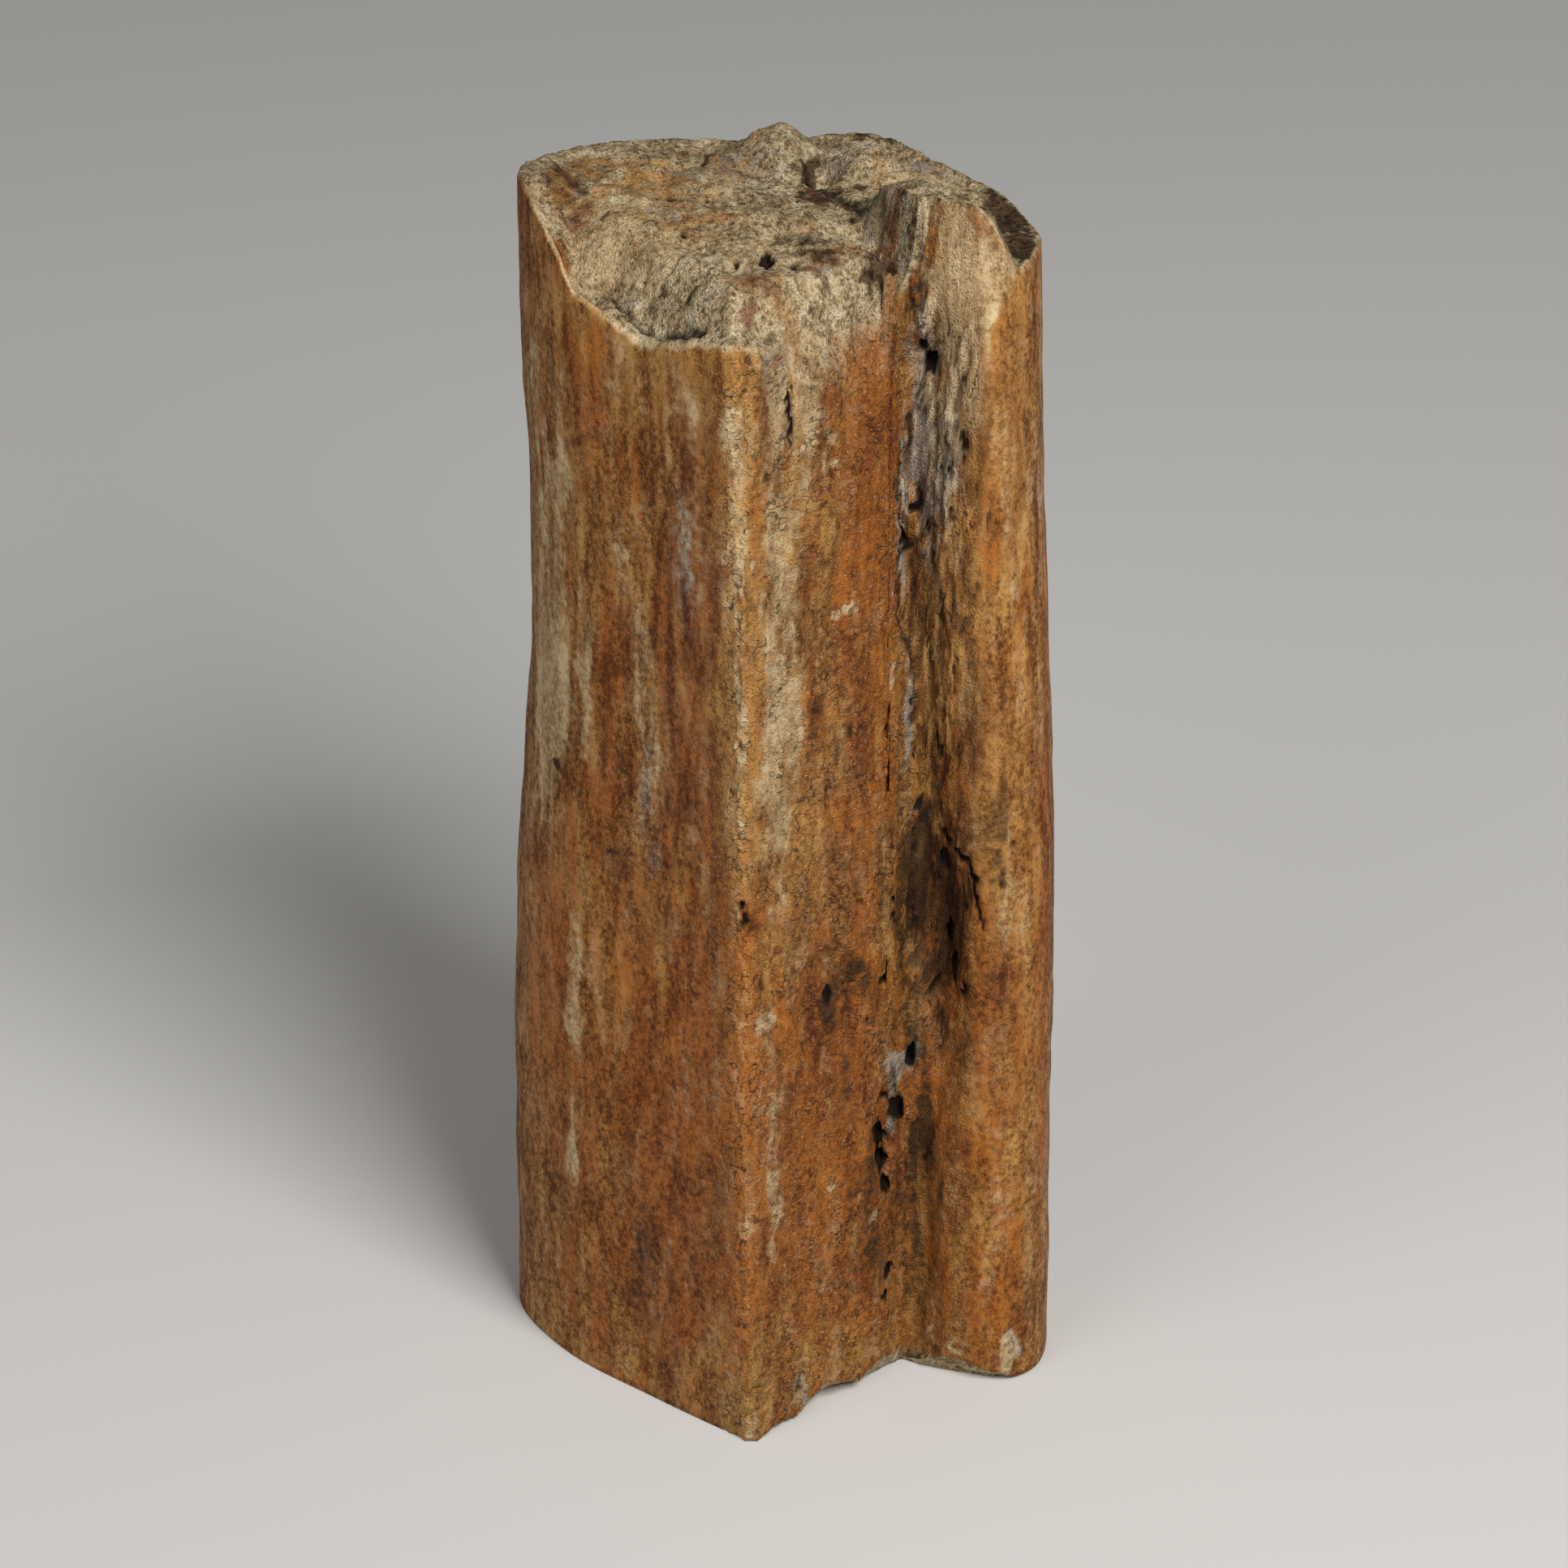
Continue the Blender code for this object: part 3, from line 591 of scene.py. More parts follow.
def side_ring(share):
    """One ring of the side, with the depth of its holes and its distance below the upper rim."""
    height = np.full(len(columns), 0.5 * HEAD_Z)
    for _ in range(3):
        plan = outline(height)
        flat = np.column_stack([plan, np.zeros(len(plan))])
        low = foot_height(plan[:, 0], plan[:, 1])
        high = break_height(plan[:, 0], plan[:, 1]) + CHIP * grain(flat, **EDGE_GRAIN)
        height = low + (high - low) * share
    lean = SPIRE_LEAN * ease((height - LEAN_Z) / LEAN_RUN)
    column = ease((plan[:, 0] - COLUMN_X) / 3.0) * ease((COLUMN_Y - plan[:, 1]) / 6.0)
    points = np.column_stack([plan, height])
    wander = grain(points, size=1.6, seed=31)
    inward = side_depth(points) - SIDE_GRAIN * grain(points, size=14.0, seed=3)
    inward *= ease(min(share, 1.0 - share) * RIM_FADE)
    front = plan[:, 1] < 0.0
    holes = np.where(front, hole_depth(points, wander), 0.0)
    inward += np.where(front, lip_depth(points, wander) + flake_depth(points, wander), 0.0)
    inward += np.where(front, edge_wear(points, high - height), RIM_WEAR * (share > 0.995))
    points[:, :2] -= outward(plan) * inward[:, None]
    points[:, 1] += lean * column + holes
    return points, holes, high - height


def break_ring(rim, share, skip):
    """A ring of the upper break between its rim and its middle, with the depth of its pits."""
    plan = np.array(BREAK_MIDDLE) + (rim[::skip, :2] - np.array(BREAK_MIDDLE)) * share
    points = np.column_stack([plan, break_height(plan[:, 0], plan[:, 1])])
    flat = np.column_stack([plan, np.zeros(len(plan))])
    relief, pits = break_relief(flat)
    inside = ease((1.0 - share) / BREAK_EDGE)
    points[:, 2] += (BREAK_GRAIN * grain(points, size=5.0, seed=7) + relief) * inside
    points[:, 2] += CHIP * grain(flat, **EDGE_GRAIN) * (1.0 - inside)
    return points, pits * inside


def foot_ring(rim, share, skip):
    """A ring of the lower break between its rim and its middle."""
    plan = np.array(BREAK_MIDDLE) + (rim[::skip, :2] - np.array(BREAK_MIDDLE)) * share
    return np.column_stack([plan, foot_height(plan[:, 0], plan[:, 1])]), np.zeros(len(plan))


def ring_shares(outer, inner, count):
    """Evenly spaced shares from outer down to inner, without the first."""
    return [outer + (inner - outer) * (step + 1) / count for step in range(count)]


BREAK_RINGS = ([(share, 1) for share in ring_shares(1.0, 0.58, 24)]
               + [(share, 2) for share in ring_shares(0.58, 0.27, 15)]
               + [(share, 4) for share in ring_shares(0.27, 0.10, 8)]
               + [(share, 8) for share in ring_shares(0.10, 0.02, 3)])
FOOT_RINGS = ([(share, 1) for share in ring_shares(1.0, 0.85, 5)]
              + [(share, 2) for share in ring_shares(0.85, 0.55, 7)]
              + [(share, 4) for share in ring_shares(0.55, 0.2, 6)]
              + [(share, 8) for share in ring_shares(0.2, 0.05, 2)])

print(len(BREAK_RINGS), "rings close the upper break and", len(FOOT_RINGS), "the lower one")

# %% Lists of the skin's points
rings = []                        # each ring's points
pit_depths = []                   # each ring's holes
rim_gaps = []                     # each ring's distance below the upper rim
zones = []                        # 0 for the side, 1 for the upper break, 2 for the lower break


def keep_ring(points, pits, gaps, zone):
    """Adds a ring to the lists, and gives the numbers of its points."""
    start = sum(len(ring) for ring in rings)
    rings.append(points)
    pit_depths.append(pits)
    rim_gaps.append(gaps)
    zones.append(np.full(len(points), zone))
    return np.arange(start, start + len(points))


# %% [markdown]
# Two rings are joined by quads where both have as many points, and by triangles where the inner one has
# fewer. Blender's Bridge Edge Loops would find the pairs by itself, but here they are known, and a list of
# faces made in order is always the same.

# %% Join the rings
def join_rings(first, second):
    """Faces between two rings of point numbers. The second has as many as the first, or a share."""
    if len(first) == len(second):
        return np.column_stack([np.roll(first, -1), first, second, np.roll(second, -1)]).tolist()
    ratio = len(first) // len(second)
    faces = []
    for index in range(len(first)):
        here, there = first[index], first[(index + 1) % len(first)]
        inner = second[((index + ratio // 2) // ratio) % len(second)]
        next_inner = second[((index + 1 + ratio // 2) // ratio) % len(second)]
        faces.append([there, here, inner])
        if next_inner != inner:
            faces.append([next_inner, there, inner])
    return faces


def close_end(rim_numbers, rim, shares, make_ring, zone, turned):
    """Faces of one break, from its rim to its middle."""
    faces = []
    outer = rim_numbers
    last_skip = 1
    for share, skip in shares:
        points, pits = make_ring(rim, share, skip)
        inner = keep_ring(points, pits, np.full(len(points), -1.0), zone)
        faces += [face[::turned] for face in join_rings(outer, inner)]
        outer = inner
        last_skip = skip
    points, pits = make_ring(rim[:1], 0.0, 1)
    middle = keep_ring(points, pits, np.full(1, -1.0), zone)[0]
    print("zone", zone, "ends in a fan of", len(rim) // last_skip)
    return faces + [[after, number, middle][::turned] for number, after in zip(outer, np.roll(outer, -1))]


# %% Build the skin
faces = []
numbers = []
side_points = []
for row in range(SIDE_ROWS + 1):
    points, holes, gaps = side_ring(row / SIDE_ROWS)
    side_points.append(points)
    numbers.append(keep_ring(points, holes, gaps, 0))
for lower, upper in zip(numbers, numbers[1:]):
    faces += join_rings(lower, upper)
faces += close_end(numbers[-1], side_points[-1], BREAK_RINGS, break_ring, 1, 1)
faces += close_end(numbers[0], side_points[0], FOOT_RINGS, foot_ring, 2, -1)

points = np.concatenate(rings)
pits = np.concatenate(pit_depths)
rim_gap = np.concatenate(rim_gaps)
zone = np.concatenate(zones)
skin = bpy.data.meshes.new("weathered_bone")
skin.from_pydata((points * MM).tolist(), [], faces)
skin.update()
triangles = sum(len(face) - 2 for face in faces)
print(len(points), "points and", triangles, "triangles in the skin")

# %% [markdown]
# Stains come next. Ground water left iron in the bone as rust and ochre, and manganese as oxblood and near
# black, and where the outer layer has flaked off the bone is pale or grey. The near-black value also holds
# painted shade: in the recess of the groove, under the lip, in the crack behind the front edge, in the pit
# beside the peak and inside the left rim, and the painted shadow that the spire casts on the low corner
# behind it. Each stain is a long patch at a place on the front or back, given as x and height. The patches
# are blended into one value for each mineral at every point of the skin, which the material reads as an
# attribute. A texture painted by hand would also work, but values on the mesh need no image, and the
# material can break up their edges itself.

# %% Stains of the front
# For each mineral its patches as seen from the front: x, height, half width, half length, strength
FRONT_STAINS = {
    "ochre": (
        (-21.0, 140.5, 8.9, 13.2, 0.7), (-25.5, 117.3, 5.6, 28.6, 0.6), (-5.4, 135.4, 3.5, 28.6, 0.7),
        (-5.6, 87.7, 2.6, 60.3, 0.6), (0.0, 119.2, 5.8, 50.6, 0.6), (1.9, 82.2, 5.0, 26.4, 0.5),
        (-0.7, 31.0, 6.0, 22.0, 0.4), (19.4, 107.3, 4.5, 26.4, 0.6), (24.8, 129.2, 5.9, 35.2, 0.85),
        (26.4, 83.6, 5.7, 39.6, 0.7), (27.1, 38.0, 5.2, 33.0, 0.25), (-14.9, 66.5, 4.0, 13.2, 0.4),
        (-17.8, 33.2, 5.2, 8.8, 0.35), (-6.6, 15.4, 2.4, 9.9, 0.6), (0.9, 112.5, 1.0, 13.2, 0.6),
        (1.9, 72.0, 2.5, 7.7, 0.7), (7.5, 139.7, 1.2, 6.6, 0.7), (12.4, 42.7, 2.0, 8.8, 0.5),
        (21.9, 76.6, 1.2, 7.7, 0.5), (19.7, 23.2, 1.1, 17.6, 0.4), (22.0, 150.8, 4.8, 8.8, 0.2),
        (27.2, 134.5, 1.8, 15.4, 0.7), (-22.5, 72.0, 1.2, 14.0, 0.6), (-12.0, 140.0, 6.0, 10.0, 0.9),
        (-9.4, 86.0, 2.6, 30.0, 0.45), (-0.8, 40.0, 2.6, 14.0, 0.6), (-1.0, 90.0, 2.0, 14.0, 0.5),
    ),
    "oxblood": (
        (-11.4, 85.8, 4.9, 70.4, 0.6), (-15.6, 28.5, 7.2, 36.3, 0.5), (-8.5, 119.6, 1.8, 18.7, 0.8),
        (-11.5, 109.0, 3.0, 14.3, 0.55), (-9.3, 85.5, 2.0, 18.7, 0.7), (-12.7, 79.1, 3.7, 26.4, 0.3),
        (-9.2, 60.5, 2.2, 16.5, 0.85), (-14.9, 19.0, 5.1, 13.2, 0.9), (-9.8, 29.8, 2.4, 22.0, 0.8),
        (-17.4, 45.8, 2.6, 6.6, 0.45), (-13.8, 124.2, 3.8, 12.3, 0.3), (9.1, 96.6, 2.3, 11.0, 0.55),
        (3.2, 51.7, 4.5, 6.6, 0.45), (-16.5, 38.6, 7.2, 19.8, 0.4), (19.9, 67.8, 3.2, 13.2, 0.7),
        (18.4, 53.2, 2.5, 6.6, 0.5), (-13.0, 30.0, 6.0, 22.0, 0.3), (-18.6, 108.0, 1.0, 14.0, 0.6),
        (-20.6, 70.0, 1.0, 12.0, 0.5), (9.0, 124.0, 3.6, 18.0, 0.5), (26.4, 46.0, 4.4, 20.0, 0.5),
        (19.0, 66.0, 4.2, 13.0, 0.9), (8.2, 119.0, 2.4, 18.0, 0.55), (7.6, 55.0, 7.0, 12.0, 0.5),
        (13.5, 25.0, 3.0, 20.0, 0.45), (-27.0, 32.0, 5.0, 14.0, 0.3),
    ),
    "rust": (
        (-20.7, 53.5, 11.4, 57.2, 0.25), (-6.7, 34.1, 3.5, 36.3, 0.4), (10.3, 125.8, 5.0, 26.4, 0.85),
        (9.4, 88.7, 5.9, 33.0, 0.55), (7.3, 46.9, 7.9, 28.6, 0.65), (4.4, 21.6, 9.1, 19.8, 0.6),
        (26.4, 32.7, 6.5, 36.3, 0.36), (19.7, 64.4, 3.8, 22.0, 0.5), (19.4, 32.4, 4.1, 28.6, 0.5),
        (31.9, 62.1, 1.0, 57.2, 0.9), (-23.3, 139.0, 4.0, 6.6, 0.75), (-20.7, 96.5, 1.4, 23.1, 0.85),
        (-24.1, 90.1, 0.9, 13.2, 0.6), (-26.4, 79.0, 1.2, 16.5, 0.8), (-22.6, 79.4, 1.4, 13.2, 0.6),
        (-23.3, 127.8, 0.9, 12.1, 0.55), (-19.3, 129.3, 0.8, 16.5, 0.6), (-28.2, 53.5, 2.6, 20.9, 1.0),
        (-31.0, 54.2, 1.3, 24.2, 0.8), (-27.1, 11.6, 1.8, 12.1, 0.95), (-22.6, 11.2, 1.4, 9.9, 0.7),
        (-23.1, 39.3, 1.5, 13.2, 0.45), (-8.3, 135.1, 1.0, 8.8, 0.7), (-7.9, 59.9, 1.1, 6.6, 0.8),
        (-6.0, 40.8, 2.4, 34.8, 0.9), (3.3, 107.9, 1.1, 22.0, 0.5), (10.8, 130.3, 3.7, 14.3, 1.0),
        (12.9, 114.1, 2.3, 15.4, 0.9), (8.0, 116.3, 2.4, 13.2, 0.7), (11.7, 84.2, 2.4, 17.6, 0.7),
        (10.3, 59.3, 3.0, 8.8, 0.8), (11.0, 18.1, 3.0, 17.6, 0.8), (21.1, 85.2, 2.0, 12.1, 0.45),
        (24.9, 114.1, 1.6, 9.9, 0.5), (28.8, 106.4, 1.5, 13.2, 0.5), (24.3, 61.1, 1.0, 6.6, 0.6),
        (25.3, 13.0, 4.0, 9.9, 0.6), (-12.6, 16.8, 6.1, 8.8, 0.5), (-6.5, 20.3, 2.5, 13.2, 0.5),
        (15.1, 135.7, 0.9, 2.4, 0.9), (8.1, 51.1, 5.0, 11.0, 0.5), (5.3, 28.3, 5.0, 8.8, 0.5),
        (-16.0, 30.0, 12.0, 30.0, 0.2), (-17.0, 122.0, 0.8, 14.0, 0.6), (-14.6, 104.0, 0.8, 12.0, 0.5),
        (-28.4, 128.0, 1.4, 12.0, 0.4), (-10.0, 50.0, 12.0, 50.0, 0.42), (-8.6, 56.0, 3.0, 40.0, 0.5),
        (0.0, 40.0, 6.0, 36.0, 0.6), (-27.4, 40.0, 3.0, 30.0, 0.5), (-4.8, 44.0, 5.0, 40.0, 0.85),
        (-2.0, 72.0, 5.0, 14.0, 0.35), (-26.4, 149.6, 1.2, 4.0, 1.2), (13.6, 38.0, 4.0, 16.0, 0.7),
        (-16.0, 50.0, 10.0, 30.0, 0.4),
    ),
    "grey": (
        (-31.5, 85.1, 1.2, 46.2, 0.25), (17.7, 133.8, 3.9, 18.7, 0.7), (30.4, 126.1, 1.3, 26.4, 0.2),
        (-12.3, 118.3, 3.0, 13.2, 0.35), (-16.2, 85.3, 2.6, 17.6, 0.3), (-0.9, 142.7, 2.4, 6.6, 0.6),
        (4.5, 139.0, 1.1, 3.3, 0.7), (-0.7, 107.5, 1.4, 3.3, 0.9), (14.0, 121.0, 0.7, 16.5, 1.0),
        (15.0, 90.9, 0.7, 13.2, 0.6), (16.2, 127.3, 1.9, 9.9, 0.9), (18.3, 132.9, 2.3, 8.8, 0.8),
        (13.3, 38.9, 0.8, 6.6, 0.8), (3.3, 3.6, 2.7, 1.5, 0.7), (19.1, 128.7, 2.3, 13.2, 0.8),
        (14.6, 43.9, 2.8, 4.0, 0.9), (15.6, 81.7, 0.6, 1.0, 1.2), (17.4, 122.0, 2.6, 12.0, 0.5),
        (28.6, 3.6, 1.8, 2.9, 1.3),
    ),
    "pale": (
        (-29.6, 105.0, 2.6, 40.3, 0.75), (-5.5, 129.7, 2.5, 26.4, 0.3), (-5.6, 42.2, 1.6, 40.3, 0.2),
        (0.8, 133.9, 4.5, 18.7, 0.35), (-0.4, 103.5, 3.7, 30.8, 0.45), (-25.9, 53.9, 1.5, 13.8, 0.55),
        (-26.4, 32.9, 0.7, 12.1, 0.7), (-24.0, 99.0, 1.0, 18.7, 0.7), (-19.8, 118.6, 1.1, 14.3, 0.4),
        (-26.6, 116.6, 1.3, 13.2, 0.6), (-5.6, 112.8, 1.1, 17.6, 0.45), (-1.4, 36.5, 1.3, 24.2, 0.45),
        (3.2, 142.4, 3.0, 6.6, 0.55), (5.1, 132.7, 0.6, 6.6, 0.9), (-1.4, 119.7, 1.2, 14.3, 0.6),
        (-0.5, 90.0, 2.2, 20.0, 0.75), (1.7, 97.2, 0.8, 12.1, 0.5), (-1.2, 78.9, 1.3, 9.9, 0.5),
        (-2.0, 59.7, 1.5, 2.2, 0.8), (7.6, 110.3, 1.1, 4.4, 0.4), (12.8, 98.1, 0.8, 2.9, 0.6),
        (9.1, 29.9, 0.7, 0.9, 1.1), (11.1, 25.0, 0.7, 0.9, 1.1), (19.9, 138.0, 1.3, 7.7, 0.5),
        (20.5, 149.3, 5.0, 11.6, 1.02), (23.3, 143.7, 1.7, 12.1, 0.45), (26.4, 122.2, 1.0, 12.1, 0.4),
        (27.0, 68.1, 0.8, 14.3, 0.35), (-4.1, 0.0, 1.1, 2.2, 0.9), (1.9, 1.5, 1.7, 1.3, 0.6),
        (-5.9, 139.6, 1.9, 6.6, 0.5), (-4.9, 99.6, 0.9, 13.2, 0.4), (17.7, 135.5, 1.4, 5.5, 0.6),
        (18.7, 130.3, 1.1, 5.5, 0.5), (28.4, 3.0, 1.8, 2.6, 1.3), (21.0, 4.4, 5.0, 0.6, 0.8),
        (-5.4, 110.0, 1.6, 36.0, 0.35), (-17.2, 104.0, 1.0, 12.0, 0.5), (-15.6, 92.0, 0.8, 10.0, 0.4),
        (-27.4, 96.0, 2.4, 16.0, 0.75), (18.5, 129.0, 2.8, 13.0, 0.45), (21.0, 138.0, 3.2, 10.0, 0.7),
        (-11.0, 139.0, 4.0, 7.0, 0.4), (24.4, 150.5, 4.0, 5.0, 1.02), (3.2, 141.0, 3.4, 7.0, 0.5),
        (-28.0, 90.0, 2.6, 12.0, 1.02), (-0.8, 139.0, 2.2, 7.0, 0.9), (-5.2, 38.0, 1.6, 12.0, 0.3),
    ),
    "dark": (
        # The patches round x 14 to 21 and heights 54 to 72 are painted shade in the recess of the groove
        (19.8, 66.9, 4.0, 18.7, 0.4), (17.0, 28.0, 2.2, 32.0, 0.62), (-3.7, 73.3, 1.4, 4.0, 0.8),
        (-3.1, 64.4, 1.2, 2.2, 0.6), (6.0, 92.1, 1.2, 6.6, 0.45), (5.3, 58.1, 1.4, 4.4, 0.7),
        (9.3, 59.2, 2.8, 6.6, 0.35), (16.6, 138.7, 0.8, 2.4, 0.7), (15.4, 105.8, 0.5, 17.6, 0.6),
        (18.1, 90.7, 0.8, 17.6, 0.4), (21.8, 107.4, 0.9, 14.3, 0.35), (16.6, 72.2, 2.6, 10.0, 1.05),
        (21.1, 67.1, 2.7, 8.8, 0.45), (19.6, 54.3, 1.7, 6.6, 0.4), (13.9, 37.2, 1.2, 8.8, 0.5),
        (15.9, 14.8, 1.1, 13.2, 0.4), (22.7, 92.5, 0.9, 13.2, 0.25), (19.8, 63.5, 2.8, 9.9, 0.5),
        (16.2, 148.0, 0.8, 6.0, 0.7), (7.6, 55.0, 7.0, 12.0, 0.33), (14.0, 70.0, 3.4, 9.0, 0.5),
        (25.6, 84.0, 3.0, 50.0, 0.3), (-20.9, 77.4, 1.7, 2.0, 0.5), (15.0, 147.0, 1.1, 6.0, 0.7),
        (16.0, 55.0, 3.4, 14.0, 0.6), (19.4, 20.0, 1.4, 16.0, 0.3), (3.6, 100.5, 1.8, 5.0, 0.45),
        (-16.5, 20.0, 4.0, 9.0, 0.35), (11.0, 27.0, 5.0, 20.0, 0.32),
    ),
}
print(sum(len(patches) for patches in FRONT_STAINS.values()), "stains on the front")

# %% Small spots of the front
# Each is almost one colour: x, height, radius
SPOTS = {
    "oxblood": ((-7.4, 119.8, 1.1), (-0.9, 68.5, 0.5), (-3.0, 61.2, 0.5), (-9.5, 13.7, 0.9),),
    "rust": ((-6.3, 120.8, 0.7),),
    "grey": ((14.9, 132.2, 0.6),),
    "pale": (
        (-19.7, 117.0, 0.7), (-18.8, 116.6, 0.4), (-5.9, 97.4, 0.3), (-3.6, 120.9, 0.4), (5.9, 31.9, 0.4),
        (11.1, 25.0, 0.5), (18.7, 42.3, 0.3), (6.2, 110.7, 0.6), (5.8, 133.9, 0.7), (5.9, 130.9, 0.5),
        (7.5, 111.1, 0.6), (-0.4, 101.9, 0.5),
    ),
    "dark": ((-27.7, 83.2, 0.7),),
}
SPOT_STRENGTH = 1.8
SPOT_PATCHES = {
    mineral: [(across, up, radius, radius, SPOT_STRENGTH) for across, up, radius in spots]
    for mineral, spots in SPOTS.items()
}
print(sum(len(spots) for spots in SPOTS.values()), "small spots")

# %% Stains of the back and of the upper break
# The photograph doesn't show the back, so these are few and large, and given like those of the front
BACK_STAINS = {
    "ochre": (
        (-24.0, 52.0, 6.0, 42.0, 0.65), (28.0, 128.0, 6.0, 30.0, 0.6),
    ),
    "oxblood": (
        (-10.0, 84.0, 7.0, 50.0, 0.55), (-12.0, 66.0, 3.0, 26.0, 0.8), (24.0, 84.0, 4.0, 36.0, 0.6),
        (14.0, 44.0, 4.0, 16.0, 0.7),
    ),
    "rust": (
        (-22.0, 100.0, 7.0, 60.0, 0.5), (-22.0, 120.0, 3.0, 22.0, 0.9), (16.0, 104.0, 7.0, 46.0, 0.6),
        (18.0, 120.0, 2.6, 18.0, 1.0), (4.0, 28.0, 9.0, 26.0, 0.7),
    ),
    "grey": (
        (8.0, 70.0, 5.0, 34.0, 0.25), (-31.0, 104.0, 2.5, 44.0, 0.25),
    ),
    "pale": (
        (1.0, 112.0, 5.0, 38.0, 0.45), (3.0, 122.0, 1.6, 22.0, 0.4), (26.0, 28.0, 8.0, 15.0, 0.35),
        (-13.0, 149.0, 9.0, 10.0, 0.5), (-27.0, 74.0, 1.2, 40.0, 0.6),
    ),
    "dark": (
        (-17.6, 96.0, 1.6, 22.0, 0.5), (9.0, 96.0, 1.2, 14.0, 0.6),
    ),
}

